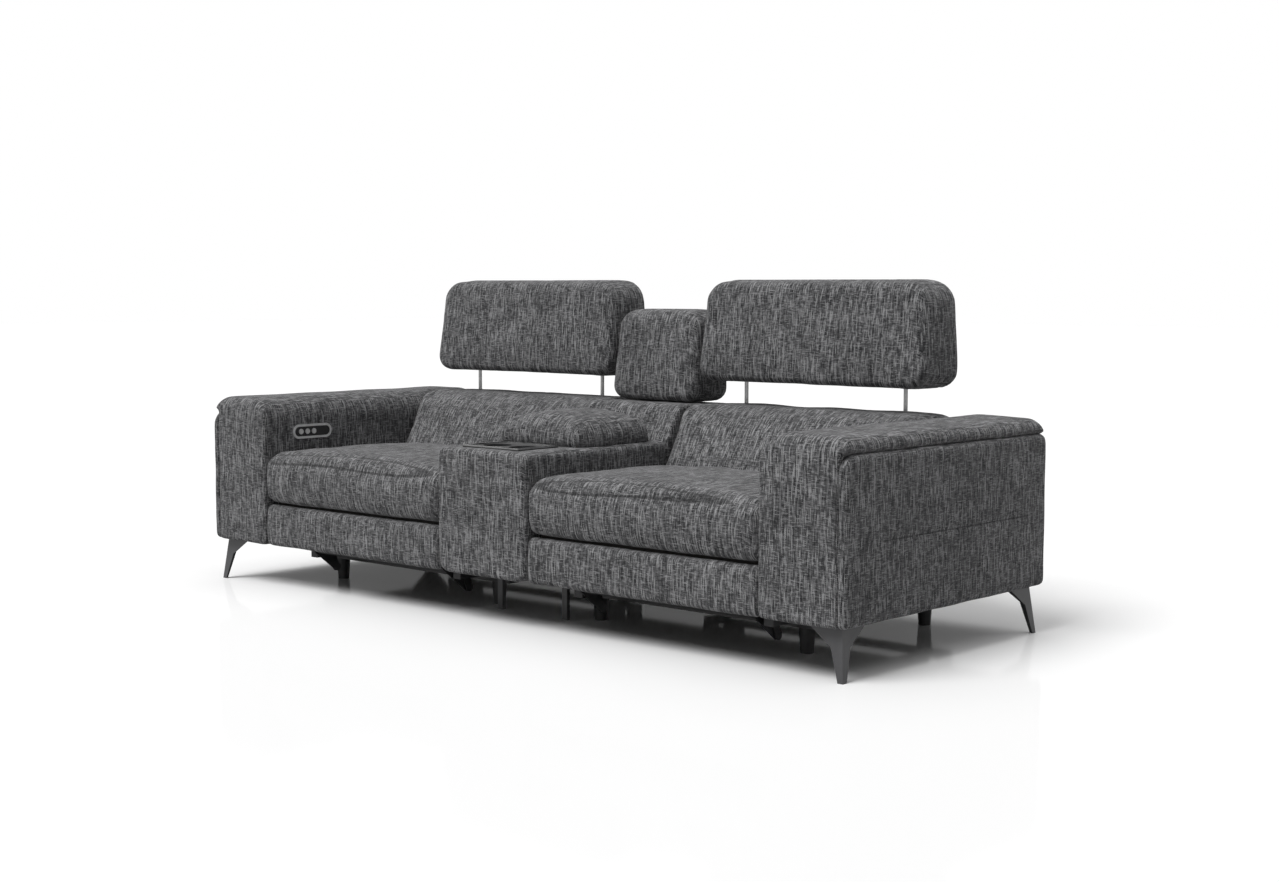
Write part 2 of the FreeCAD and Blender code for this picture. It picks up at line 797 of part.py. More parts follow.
def seat_side_plates(side, sign):
    """Steel plates under the deck with shoes on the rails and ears for the back's pivot."""
    members = []
    start = pivot_one[0] - link_width * 2
    for end in (-1, 1):
        body = doc.addObject("PartDesign::Body", f"{side}_side_plate")
        middle = bay_middle * sign + rail_spread * end
        low, high = about(middle, side_plate / 2)
        ear_rear = back_pivot + back_boss_radius
        corners = (
            (start, footrest_pivot_height - link_width),
            (start + link_width * 3, slide_top + seat_clear),
            (ear_rear - back_boss_radius, slide_top + seat_clear),
            (ear_rear, deck_under),
            (ear_rear, back_pivot_height),
            (ear_rear - back_boss_radius * 2, back_pivot_height),
            (seat_rear, deck_under),
            (start, deck_under),
        )
        block(body, "X", low, high, [corners])
        block(body, "X", low, high, circles=[(back_pivot, back_pivot_height, back_boss_radius)])
        shoe_low, shoe_high = about(middle, slide_shoe / 2)
        shoe = rectangle(start + link_width * 3, ear_rear - back_boss_radius, slide_top + seat_clear,
                         slide_top + seat_clear + side_plate)
        block(body, "X", shoe_low, shoe_high, [shoe])
        bores = [(back_pivot, back_pivot_height, back_pivot_radius + pin_clear),
                 (*pivot_one, pivot_radius + pin_clear)]
        block(body, "X", shoe_low, shoe_high, circles=bores, cut=True)
        members.append(body)
    group(f"{side}_seat_side_plates", members)


def actuators(side, sign):
    """Two linear actuators that hang under the deck, one for the footrest and one for the back."""
    members = []
    for number in (-1, 1):
        body = doc.addObject("PartDesign::Body", f"{side}_actuator")
        middle = bay_middle * sign + motor_offset * number
        low, high = about(middle, motor_width / 2)
        case_rear = seat_rear - motor_rear
        case_front = case_rear - motor_length
        tube_front = pivot_one[0] + torque_tube_radius + motor_tube_gap
        corners = rectangle(case_front, case_rear, deck_under - motor_height, deck_under)
        block(body, "X", low, high, [corners])
        axis_height = deck_under - motor_height / 2
        tube = [(middle, axis_height, motor_tube_radius)]
        block(body, "Y", tube_front, case_front, circles=tube)
        members.append(body)
    group(f"{side}_actuators", members)


def seat_cushion(side, sign):
    """Seat cushion: bulged front, crowned top and drawn in sides."""
    middle = bay_middle.value * sign
    low, high = middle - seat_half.value, middle + seat_half.value
    nose = front.value - cushion_bulge.value
    end = seat_rear.value
    bottom = seat_underside.value
    turn = seat_front_round.value
    wires = []
    for x, inset, crown in side_stations(low, high, seat_edge_round.value):
        top = seat_side_top.value + seat_crown.value * crown - inset
        front_y = nose + inset * 0.6
        lip = top - turn * 0.9
        belly = (bottom + lip) / 2
        shelf = top - turn * 0.18
        points = {
            "toe": (x, front_y + turn * 0.36, bottom),
            "belly": (x, front_y, belly),
            "lip": (x, front_y + turn * 0.36, lip),
            "lip_mid": (x, front_y + turn * 0.66, top - turn * 0.42),
            "brow": (x, front_y + turn * 1.1, shelf + turn * 0.05),
            "crown": (x, (front_y + end) / 2, top + turn * 0.12),
            "back": (x, end - turn, shelf),
            "back_mid": (x, end - turn * 0.3, top - turn * 0.42),
            "tail": (x, end, top - turn),
            "heel": (x, end, bottom),
        }
        wires.append(Part.Wire([
            arc(points["toe"], points["belly"], points["lip"]),
            arc(points["lip"], points["lip_mid"], points["brow"]),
            arc(points["brow"], points["crown"], points["back"]),
            arc(points["back"], points["back_mid"], points["tail"]),
            line(points["tail"], points["heel"]),
            line(points["heel"], points["toe"]),
        ]))
    soft_form(f"{side}_seat_cushion", wires)


def footrest_panel(side, sign):
    """Footrest board with pivot ears, and its pad."""
    middle = bay_middle * sign
    board = new_body(f"{side}_footrest_board")
    low, high = about(middle, seat_half - footrest_thickness)
    corners = rectangle(footrest_board_front, footrest_board_rear, underside + footrest_gap,
                        footrest_top - footrest_gap)
    block(board, "X", low, high, [corners])
    half = link_thickness / 2
    for end in (-1, 1):
        ear_low, ear_high = about(middle + ear_spread * end, half)
        far, level = joint_two
        ear = (
            (footrest_board_rear, level - link_width),
            (far, level - link_width / 2),
            (far, level + link_width / 2),
            (footrest_board_rear, level + link_width),
        )
        block(board, "X", ear_low, ear_high, [ear])
        block(board, "X", ear_low, ear_high, circles=[(*joint_two, link_width / 2)])
        pin_low, pin_high = sorted_pair(middle + (ear_spread - half) * end,
                                        middle + (upper_link_spread + half) * end)
        block(board, "X", pin_low, pin_high, circles=[(*joint_two, pivot_radius)])
    pad = new_body(f"{side}_footrest_pad")
    low, high = about(middle, seat_half)
    block(pad, "X", low, high, [rectangle(footrest_front, footrest_board_front, underside, footrest_top)])
    round_edges(pad, footrest_round, lies_at("Y", footrest_front))


def sorted_pair(one, other):
    return (one, other) if one.value < other.value else (other, one)


def link_plate(body, low, high, reach):
    """Flat bar with round ends, from a pivot at the body's origin along its own Y."""
    half = link_width / 2
    block(body, "X", low, high, [rectangle(-half, reach + half, -half, half, half)])


def lower_links(side, sign):
    """Two bars on a torque tube that turns in the side plates, with pins at their far ends."""
    body = new_body(f"{side}_footrest_lower_links")
    half = link_thickness / 2
    low, high = about(as_length(0), lower_link_spread + half)
    block(body, "X", low, high, circles=[(0, 0, torque_tube_radius)])
    for end in (-1, 1):
        low, high = about(lower_link_spread * end, half)
        link_plate(body, low, high, link_length)
        low, high = sorted_pair(lower_link_spread * end, (rail_spread + side_plate) * end)
        block(body, "X", low, high, circles=[(0, 0, pivot_radius)])
        low, high = sorted_pair(lower_link_spread * end, (upper_link_spread - half) * end)
        block(body, "X", low, high, circles=[(link_length, 0, pivot_radius)])
    place(body, bay_middle * sign, *pivot_one, angle=lower_link_angle)


def upper_links(side, sign):
    """Two bars with a brace between them, bored for the pins at both ends."""
    body = new_body(f"{side}_footrest_upper_links")
    half = link_thickness / 2
    low, high = about(as_length(0), upper_link_spread)
    block(body, "X", low, high, circles=[(link_length / 2, 0, brace_radius)])
    for end in (-1, 1):
        low, high = about(upper_link_spread * end, half)
        link_plate(body, low, high, link_length)
        bores = [(0, 0, pivot_radius + pin_clear), (link_length, 0, pivot_radius + pin_clear)]
        block(body, "X", low, high, circles=bores, cut=True)
    place(body, bay_middle * sign, *joint_one, angle=upper_link_angle)


def back_frame(side, sign):
    """Steel back frame: uprights with pivot pins, two cross bars and guides for the rods."""
    body = new_body(f"{side}_back_frame")
    middle = bay_middle * sign
    half = side_plate / 2
    upright_rear = back_rear - rear_cover_thickness - seat_clear
    upright_front = upright_rear - back_upright_depth
    arm_low = back_pivot_height - back_frame_arm / 2
    arm_high = back_pivot_height + back_frame_arm / 2
    upright_top = back_cap_underside - seat_clear
    bar_half = side_plate * 2
    low, high = about(middle, back_frame_spread)
    for level in (upright_top - bar_half, guide_bottom + bar_half):
        bar = rectangle(rod_place - bar_half, rod_place + bar_half * 2, level - bar_half, level)
        block(body, "X", low, high, [bar])
    for end in (-1, 1):
        plate_low, plate_high = about(middle + back_frame_spread * end, half)
        corners = (
            (back_pivot, arm_low),
            (upright_rear, arm_low),
            (upright_rear, upright_top),
            (upright_front, upright_top),
            (upright_front, arm_high),
            (back_pivot, arm_high),
        )
        block(body, "X", plate_low, plate_high, [corners])
        boss = (back_pivot, back_pivot_height, back_frame_arm / 2)
        block(body, "X", plate_low, plate_high, circles=[boss])
        pin_low, pin_high = sorted_pair(middle + back_frame_spread * end,
                                        middle + (rail_spread + side_plate) * end)
        block(body, "X", pin_low, pin_high, circles=[(back_pivot, back_pivot_height, back_pivot_radius)])
    sleeves = [(middle + rod_spread * end, rod_place, rod_radius + rod_sleeve) for end in (-1, 1)]
    block(body, "Z", guide_bottom, upright_top, circles=sleeves)
    bores = [(middle + rod_spread * end, rod_place, rod_radius + rod_clear) for end in (-1, 1)]
    block(body, "Z", guide_bottom, upright_top, circles=bores, cut=True)


def back_outline(x, inset, crown, foot_y, foot_z):
    """Side outline of a back: a leaning front, a round shoulder, a long top and a round rear edge."""
    lean = back_lean.value
    bend = max(back_bend_height.value, foot_z)
    shoulder = back_shoulder_height.value - inset * 0.7
    rise = (shoulder - back_bend_height.value) / (back_shoulder_height.value - back_bend_height.value)
    face = back_front.value + inset * 0.7
    start = max(face, foot_y + inset * 0.7)
    shoulder_y = face + lean * rise
    top = back_top.value - inset
    top_y = back_front.value + back_top_front.value
    rear_y = back_rear.value - inset * 0.5
    rear_top = top - back_top_drop.value
    turn = 2 * back_edge_round.value
    slope = lean / (back_shoulder_height.value - back_bend_height.value)
    bend_z = max(bend, back_bend_height.value + (start - face) / slope)
    return {
        "foot": (x, start, foot_z),
        "bend": (x, start, bend_z),
        "shoulder": (x, shoulder_y, shoulder),
        "shoulder_mid": (x, shoulder_y + (top_y - shoulder_y) * 0.4, shoulder + (top - shoulder) * 0.72),
        "top": (x, top_y, top),
        "top_mid": (x, (top_y + rear_y - turn) / 2, (top + rear_top) / 2 + 1),
        "edge": (x, rear_y - turn, rear_top),
        "edge_mid": (x, rear_y - turn * 0.29, rear_top - turn * 0.29),
        "back": (x, rear_y, rear_top - turn),
    }


def rod_holes(spots, low, high, radius):
    """Round tools that cut the ways for the rods."""
    return [Part.makeCylinder(radius, high - low, V(x, rod_place.value, low)) for x in spots]


def back_cushion(side, sign):
    """Back cushion: a leaning slab with a cap over the frame behind it."""
    middle = bay_middle.value * sign
    low, high = middle - seat_half.value, middle + seat_half.value
    slab_rear = back_front.value + back_slab.value
    cap = back_cap_underside.value
    bottom = back_underside.value
    wires = []
    for x, inset, crown in side_stations(low, high, back_edge_round.value, middles=3):
        spot = back_outline(x, inset, crown, 0, bottom)
        slab_foot = (x, slab_rear, bottom)
        slab_top = (x, slab_rear, cap)
        cap_rear = (x, spot["back"][1], cap)
        wires.append(Part.Wire([
            line(spot["foot"], spot["bend"]),
            line(spot["bend"], spot["shoulder"]),
            arc(spot["shoulder"], spot["shoulder_mid"], spot["top"]),
            arc(spot["top"], spot["top_mid"], spot["edge"]),
            arc(spot["edge"], spot["edge_mid"], spot["back"]),
            line(spot["back"], cap_rear),
            line(cap_rear, slab_top),
            line(slab_top, slab_foot),
            line(slab_foot, spot["foot"]),
        ]))
    spots = [middle + rod_spread.value * end for end in (-1, 1)]
    hole = rod_radius.value + 4 * rod_clear.value
    over = back_top.value + rod_end_room.value
    soft_form(f"{side}_back_cushion", wires, rod_holes(spots, cap - seat_clear.value, over, hole))


def rear_cover(side, sign):
    """Upholstered board on the rear of the back."""
    body = new_body(f"{side}_back_rear_cover")
    low, high = about(bay_middle * sign, seat_half)
    start = back_rear - rear_cover_thickness
    top = back_cap_underside - seat_clear
    block(body, "X", low, high, [rectangle(start, back_rear, back_underside, top)])


def centre_back():
    """Fixed back between the two seats, behind the console."""
    half = centre_back_half.value
    bottom = centre_back_bottom.value
    foot_y = console_end.value + seat_clear.value
    wires = []
    for x, inset, crown in side_stations(-half, half, back_edge_round.value / 2, middles=1):
        spot = back_outline(x, inset, crown, foot_y, bottom)
        heel = (x, rear.value - rear_panel_thickness.value - seat_clear.value, bottom)
        seat_edge = (x, heel[1], rear_panel_top.value)
        ledge = (x, spot["back"][1], rear_panel_top.value)
        wires.append(Part.Wire([
            line(spot["foot"], spot["bend"]),
            line(spot["bend"], spot["shoulder"]),
            arc(spot["shoulder"], spot["shoulder_mid"], spot["top"]),
            arc(spot["top"], spot["top_mid"], spot["edge"]),
            arc(spot["edge"], spot["edge_mid"], spot["back"]),
            line(spot["back"], ledge),
            line(ledge, seat_edge),
            line(seat_edge, heel),
            line(heel, spot["foot"]),
        ]))
    spots = [centre_rod_spread.value * end for end in (-1, 1)]
    hole_low = back_top.value - rod_engaged.value - rod_end_room.value
    over = back_top.value + rod_end_room.value
    hole = rod_radius.value + rod_clear.value
    soft_form("centre_back", wires, rod_holes(spots, hole_low, over, hole))


def headrest(label, middle, half, bottom, height, depth, spread):
    """Headrest pad: a rounded slab whose front leans back, with sockets for its rods."""
    middle, half, bottom, height, depth, spread = [
        number.value for number in (middle, half, bottom, height, depth, spread)]
    wires = []
    crown = headrest_crown.value
    top_radius = headrest_top_round.value
    low_radius = headrest_bottom_round.value
    for place_y, inset, fullness in side_stations(0, depth, crown, middles=1):
        start = headrest_front.value + place_y
        shift = headrest_recede.value * (1 - place_y / depth)

        def y_of(level, start=start, shift=shift):
            return start + shift * (level - bottom) / height

        wires.append(rounded_outline(half - inset, bottom + inset, bottom + height - inset,
                                     low_radius - inset * 0.5, top_radius - inset * 0.5,
                                     headrest_side_lean.value, (y_of, middle)))
    spots = [middle + spread * end for end in (-1, 1)]
    socket = rod_radius.value + pin_clear.value
    sockets = rod_holes(spots, bottom - seat_clear.value, bottom + rod_in_pad.value, socket)
    soft_form(f"{label}_headrest_pad", wires, sockets)


def headrest_rods(label, middle, spread, high):
    """The two round rods of a headrest, from inside the pad down into the back."""
    low = back_top - rod_engaged
    members = []
    for end in (-1, 1):
        rod = doc.addObject("Part::Cylinder", f"{label}_rod")
        rod.setExpression("Radius", rod_radius.formula)
        rod.setExpression("Height", (high - low).formula)
        place(rod, middle + spread * end, rod_place, low)
        members.append(rod)
    group(f"{label}_headrest_rods", members)


def rear_lower_panel():
    """Upholstered panel across the rear, from arm to arm."""
    body = new_body("rear_lower_panel")
    low, high = about(as_length(0), arm_inside - seat_clear)
    start = rear - rear_panel_thickness
    block(body, "X", low, high, [rectangle(start, rear, underside, rear_panel_top)])
    round_edges(body, rear_panel_thickness / 4, lies_at("Y", rear))


def console_shell():
    """Upholstered console body with a pocket for the tray and a storage bin."""
    body = new_body("console_shell")
    corners = (
        (-console_side, underside, console_round * 2),
        (console_side, underside, console_round * 2),
        (console_side, console_top, console_round),
        (-console_side, console_top, console_round),
    )
    block(body, "Y", front, console_end, [corners])
    round_edges(body, panel_edge_round, lies_at("Y", front))
    tray_pocket = rectangle(-tray_half - seat_clear, tray_half + seat_clear,
                            tray_start - seat_clear, tray_end + seat_clear)
    block(body, "Z", console_top - tray_depth, console_top, [tray_pocket], cut=True)
    bin_box = rectangle(bin_wall - console_side, console_side - bin_wall,
                        front + bin_front, console_end - bin_rear_wall)
    block(body, "Z", bin_floor, console_top, [bin_box], cut=True)


def cup_tray():
    """Moulded tray with two cup wells and a rim recess."""
    body = new_body("cup_tray")
    top = console_top + tray_lip
    block(body, "Z", console_top - tray_depth, top,
          [rectangle(-tray_half, tray_half, tray_start, tray_end)])
    middle = (tray_start + tray_end) / 2
    wells = [(cup_spread * end, middle, cup_radius) for end in (-1, 1)]
    block(body, "Z", top - cup_depth, top, circles=wells, cut=True)


def tray_trim():
    """Thin bright frame on top of the tray."""
    body = new_body("tray_trim")
    top = console_top + tray_lip
    outer = rectangle(-tray_half, tray_half, tray_start, tray_end)
    inner = rectangle(trim_width - tray_half, tray_half - trim_width,
                      tray_start + trim_width, tray_end - trim_width)
    block(body, "Z", top, top + trim_height, [outer, inner])


def console_lid():
    """Lid board and the crowned pad on it."""
    board = new_body("lid_board")
    start = front + lid_front
    low, high = about(as_length(0), lid_half - lid_board)
    board_end = lid_end - hinge_radius * 2
    block(board, "X", low, high, [rectangle(start + lid_board, board_end, lid_under, lid_board_top)])
    half = lid_half.value
    bottom = lid_board_top.value
    side_height = lid_pad_side.value
    crown_height = lid_crown.value
    wires = []
    for y, inset, crown in side_stations(start.value, lid_end.value, lid_end_round.value, middles=3):
        reach = half - inset * 0.25
        edge = bottom + side_height - inset * 0.55
        top = edge + crown_height - inset * 0.3
        turn = crown_height
        wires.append(Part.Wire([
            line((-reach, y, bottom), (reach, y, bottom)),
            line((reach, y, bottom), (reach, y, edge - turn * 0.3)),
            arc((reach, y, edge - turn * 0.3), (reach - turn * 0.2, y, edge + turn * 0.32),
                (reach - turn * 0.8, y, edge + turn * 0.62)),
            arc((reach - turn * 0.8, y, edge + turn * 0.62), (0, y, top),
                (turn * 0.8 - reach, y, edge + turn * 0.62)),
            arc((turn * 0.8 - reach, y, edge + turn * 0.62), (turn * 0.2 - reach, y, edge + turn * 0.32),
                (-reach, y, edge - turn * 0.3)),
            line((-reach, y, edge - turn * 0.3), (-reach, y, bottom)),
        ]))
    soft_form("lid_pad", wires)


def lid_hinges():
    """Fixed and moving knuckles of the lid's two hinges; the pins belong to the fixed ones."""
    axis_y = lid_end - hinge_radius
    axis_z = lid_under + hinge_radius + hinge_leaf
    fixed = []
    moving = []
    for end in (-1, 1):
        middle = hinge_offset * end
        leaf = doc.addObject("PartDesign::Body", "fixed_leaf")
        low, high = about(middle, hinge_knuckle * 1.5)
        foot = rectangle(axis_y - hinge_radius * 0.6, axis_y + hinge_radius * 5, console_top,
                         console_top + hinge_leaf)
        block(leaf, "X", low, high, [foot])
        block(leaf, "X", *about(middle, hinge_knuckle * 1.5), circles=[(axis_y, axis_z, hinge_pin_radius)])
        for side in (-1, 1):
            knuckle = about(middle + hinge_knuckle * side, hinge_knuckle / 2 - hinge_leaf / 4)
            block(leaf, "X", *knuckle, circles=[(axis_y, axis_z, hinge_radius)])
        fixed.append(leaf)
        arm = doc.addObject("PartDesign::Body", "moving_leaf")
        knuckle = about(middle, hinge_knuckle / 2 - hinge_leaf / 4)
        strap = rectangle(lid_end - hinge_radius * 2, axis_y, lid_board_top - hinge_radius, lid_board_top)
        block(arm, "X", *knuckle, [strap])
        block(arm, "X", *knuckle, circles=[(axis_y, axis_z, hinge_radius)])
        block(arm, "X", *knuckle, circles=[(axis_y, axis_z, hinge_pin_radius + pin_clear)], cut=True)
        moving.append(arm)
    group("lid_hinge_fixed", fixed)
    group("lid_hinge_moving", moving)


def console_legs():
    """Two flat legs with top plates under the console."""
    members = []
    for side, sign in SIDES:
        body = doc.addObject("PartDesign::Body", f"{side}_console_leg")
        x_low, x_high = about(console_leg_spread * sign, console_leg_width / 2)
        y_low, y_high = about(front + console_leg_from_front, console_leg_depth / 2)
        block(body, "Z", 0, underside - console_leg_plate, [rectangle(x_low, x_high, y_low, y_high)])
        plate = rectangle(x_low, x_high, y_low - console_leg_width, y_high + console_leg_width)
        block(body, "Z", underside - console_leg_plate, underside, [plate])
        members.append(body)
    group("console_legs", members)


for side, sign in SIDES:
    arm_frame(side, sign)
    arm_upholstery(side, sign)
    arm_side_panel(side, sign)
    for number, name in enumerate(("front", "middle", "rear")):
        control_button(side, sign, number, name)
    corner_leg(f"{side}_front_leg", sign, -1)
    corner_leg(f"{side}_rear_leg", sign, 1)
    seat_deck(side, sign)
    seat_side_plates(side, sign)
    actuators(side, sign)
    seat_cushion(side, sign)
    footrest_panel(side, sign)
    lower_links(side, sign)
    upper_links(side, sign)
    back_frame(side, sign)
    back_cushion(side, sign)
    rear_cover(side, sign)
    bay = bay_middle * sign
    headrest(side, bay, seat_half, headrest_bottom, headrest_height, headrest_depth, rod_spread)
    headrest_rods(side, bay, rod_spread, headrest_bottom + rod_in_pad)

centre_bottom = back_top + centre_headrest_gap
headrest("centre", as_length(0), centre_headrest_half, centre_bottom, centre_headrest_height,
         centre_headrest_depth, centre_rod_spread)
headrest_rods("centre", as_length(0), centre_rod_spread, centre_bottom + rod_in_pad)
group("control_bezels", [control_bezel(side, sign) for side, sign in SIDES])
group("control_housings", [control_housing(side, sign) for side, sign in SIDES])
leg_screws()
mechanism_feet()
cross_rails()
slide_rails()
centre_back()
rear_lower_panel()
console_shell()
cup_tray()
tray_trim()
console_lid()
lid_hinges()
console_legs()
doc.recompute()

faults = [item.Label for item in doc.Objects if {"Invalid", "Error"} & set(item.State)]
for label, item in sub_parts.items():
    if item.Shape.isNull() or not item.Shape.isValid() or not item.Shape.Solids:
        faults.append(label)
if faults:
    raise RuntimeError("failed: " + ", ".join(faults))

os.makedirs("parts", exist_ok=True)
for label, item in sub_parts.items():
    item.Shape.exportStep(f"parts/{label}.step")
print(len(sub_parts), "nodes")
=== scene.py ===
import math
from functools import partialmethod

import bmesh
import bpy
import numpy as np
from bpy.props import FloatProperty, FloatVectorProperty, PointerProperty
from mathutils import Matrix, Vector


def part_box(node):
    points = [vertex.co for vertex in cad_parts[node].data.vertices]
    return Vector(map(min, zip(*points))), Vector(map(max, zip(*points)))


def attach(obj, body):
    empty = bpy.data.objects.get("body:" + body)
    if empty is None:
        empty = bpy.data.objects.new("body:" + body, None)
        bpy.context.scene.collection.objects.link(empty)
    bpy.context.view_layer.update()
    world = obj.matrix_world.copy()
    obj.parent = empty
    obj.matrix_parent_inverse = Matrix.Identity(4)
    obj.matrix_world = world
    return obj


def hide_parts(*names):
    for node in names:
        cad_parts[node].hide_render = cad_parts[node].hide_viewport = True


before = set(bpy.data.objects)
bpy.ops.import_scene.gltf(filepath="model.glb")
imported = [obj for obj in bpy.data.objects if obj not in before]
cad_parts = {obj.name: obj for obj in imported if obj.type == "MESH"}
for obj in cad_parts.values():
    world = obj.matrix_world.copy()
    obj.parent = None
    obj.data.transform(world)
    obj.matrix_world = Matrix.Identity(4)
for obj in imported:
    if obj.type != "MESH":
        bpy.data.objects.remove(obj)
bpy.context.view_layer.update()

bl_info = {
    "name": "Reclining Sofa With Console",
    "version": (1, 0, 0),
    "blender": (4, 5, 0),
    "location": "View3D > Sidebar > Sofa",
    "description": "Dresses a two seat reclining sofa with padded fabric pieces",
    "category": "Object",
}

SIDES = (("left", -1), ("right", 1))

# Boxes that the upholstery is built to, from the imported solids
ARM_LOW, ARM_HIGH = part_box("right_arm_upholstery")
PANEL_LOW, PANEL_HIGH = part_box("right_arm_side_panel")
SEAT_LOW, SEAT_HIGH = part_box("right_seat_cushion")
FOOTREST_LOW, FOOTREST_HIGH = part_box("right_footrest_pad")
BACK_LOW, BACK_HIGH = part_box("right_back_cushion")
COVER_LOW, COVER_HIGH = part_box("right_back_rear_cover")
HEADREST_LOW, HEADREST_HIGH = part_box("right_headrest_pad")
CENTRE_HEADREST_LOW, CENTRE_HEADREST_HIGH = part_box("centre_headrest_pad")
CENTRE_BACK_LOW, CENTRE_BACK_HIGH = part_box("centre_back")
SHELL_LOW, SHELL_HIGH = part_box("console_shell")
LID_LOW, LID_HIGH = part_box("lid_pad")
BOARD_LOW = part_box("lid_board")[0]
TRAY_LOW, TRAY_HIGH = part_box("cup_tray")
BAY_MIDDLE = (SEAT_LOW.x + SEAT_HIGH.x) / 2

# A cushion starts this far inside its form, and its ends this share of that; its cloth is a
# little larger than the form it starts with
START = 0.003
SIDE_START = 0.4
SLACK = 0.012
CLOTH_FRAMES = 20

# Ripples beside a seam: their length, how far they reach, and the most that distance times
# bell comes to over that reach
RIPPLE_LENGTH = 0.019
RIPPLE_REACH = 0.016
RIPPLE_PEAK = 0.007

SEAM_REACH = 0.05  # farthest from a seam that a piece's map tells apart
SIDEWAYS = 0.72  # least X of a face's normal for it to be woven as a side
FAR = 9.0  # beyond every piece
FABRIC = "woven_fabric"


def length(name, default, description):
    """A size in metres that the panel shows."""
    return FloatProperty(name=name, description=description, default=default, min=0.0,
                         unit="LENGTH", subtype="DISTANCE", precision=4)


def place(name, default, description):
    """A coordinate in metres that the panel shows."""
    return FloatProperty(name=name, description=description, default=default, unit="LENGTH",
                         subtype="DISTANCE", precision=4)


def angle(name, degrees, description):
    """An angle that the panel shows."""
    return FloatProperty(name=name, description=description, default=math.radians(degrees),
                         unit="ROTATION", subtype="ANGLE")


def amount(name, default, description):
    """A plain number that the panel shows."""
    return FloatProperty(name=name, description=description, default=default, min=0.0)


def colour(name, default, description):
    """A linear colour that the panel shows."""
    return FloatVectorProperty(name=name, description=description, default=default, size=3,
                               min=0.0, max=1.0, subtype="COLOR")


class FabricSettings(bpy.types.PropertyGroup):
    """Colours and thread sizes of the woven cover."""
    dark: colour("Dark yarn", (0.024, 0.024, 0.026), "Darkest yarn in the weave")
    middle: colour("Middle yarn", (0.112, 0.112, 0.115), "Most common yarn in the weave")
    pale: colour("Pale slub", (0.46, 0.46, 0.465), "Thick pale yarn that shows in dashes")
    pitch: length("Thread pitch", 0.0023, "Distance from one thread to the next")
    waver: length("Waver", 0.0007, "Width of the band that a thread wanders in")
    slub: length("Slub length", 0.050, "Typical length of a pale dash")
    seam: length("Seam width", 0.0026, "Width of the dark line at a seam")


class PaddingSettings(bpy.types.PropertyGroup):
    """How full the padding is and how the seams draw it in."""
    voxel: length("Skin grain", 0.0075, "Edge length of the skin before it is subdivided")
    fine_voxel: length("Fine skin grain", 0.0056, "Edge length of the skin of firm pieces")
    swell: length("Swell", 0.012, "Farthest that the fabric moves when the padding fills it")
    groove: length("Seam depth", 0.0028, "Depth of the groove along a seam")
    groove_width: length("Groove width", 0.0055, "Half width of the groove along a seam")
    pucker: length("Pucker", 0.0007, "Height of the ripples beside a seam")


class StageSettings(bpy.types.PropertyGroup):
    """Floor, lamps and camera."""
    floor: colour("Floor", (1.0, 1.0, 1.0), "Colour of the floor to the camera")
    bounce: colour("Floor bounce", (0.38, 0.38, 0.38), "Colour of the floor to other light")
    camera_x: place("Camera X", 3.737, "Camera place along X")
    camera_y: place("Camera Y", -4.0135, "Camera place along Y")
    camera_z: place("Camera height", 0.930, "Camera height over the floor")
    yaw: angle("Yaw", 41.563, "Turn of the view to the left")
    pitch: angle("Pitch", 4.652, "Tilt of the view downwards")
    roll: angle("Roll", 0.1065, "Turn of the picture")
    lens: amount("Lens", 52.37, "Focal length in millimetres")
    key: amount("Key light", 2.2, "Strength of the light from the front")
    top: amount("Top light", 1.1, "Strength of the light from overhead")
    ambient: amount("Ambient", 0.17, "Strength of the light all round")


# Shader maths

class Value:
    """One output socket. Arithmetic on it adds Math nodes to the same tree."""

    def __init__(self, recipe, socket):
        self.recipe = recipe
        self.socket = socket

    def maths(self, operation, *others):
        return self.recipe.maths(operation, self, *others)

    __add__ = partialmethod(maths, "ADD")
    __sub__ = partialmethod(maths, "SUBTRACT")
    __mul__ = partialmethod(maths, "MULTIPLY")
    __truediv__ = partialmethod(maths, "DIVIDE")
    larger = partialmethod(maths, "MAXIMUM")
    size = partialmethod(maths, "ABSOLUTE")
    floor = partialmethod(maths, "FLOOR")
    fraction = partialmethod(maths, "FRACT")
    sine = partialmethod(maths, "SINE")

    def __rsub__(self, other):
        return self.recipe.maths("SUBTRACT", other, self)

    def smooth(self, low, high):
        """0 below low, 1 above high, with a smooth rise between them."""
        settings = {"interpolation_type": "SMOOTHSTEP"}
        sockets = {"Value": self, "From Min": low, "From Max": high}
        return self.recipe.node("ShaderNodeMapRange", settings, sockets, "Result")


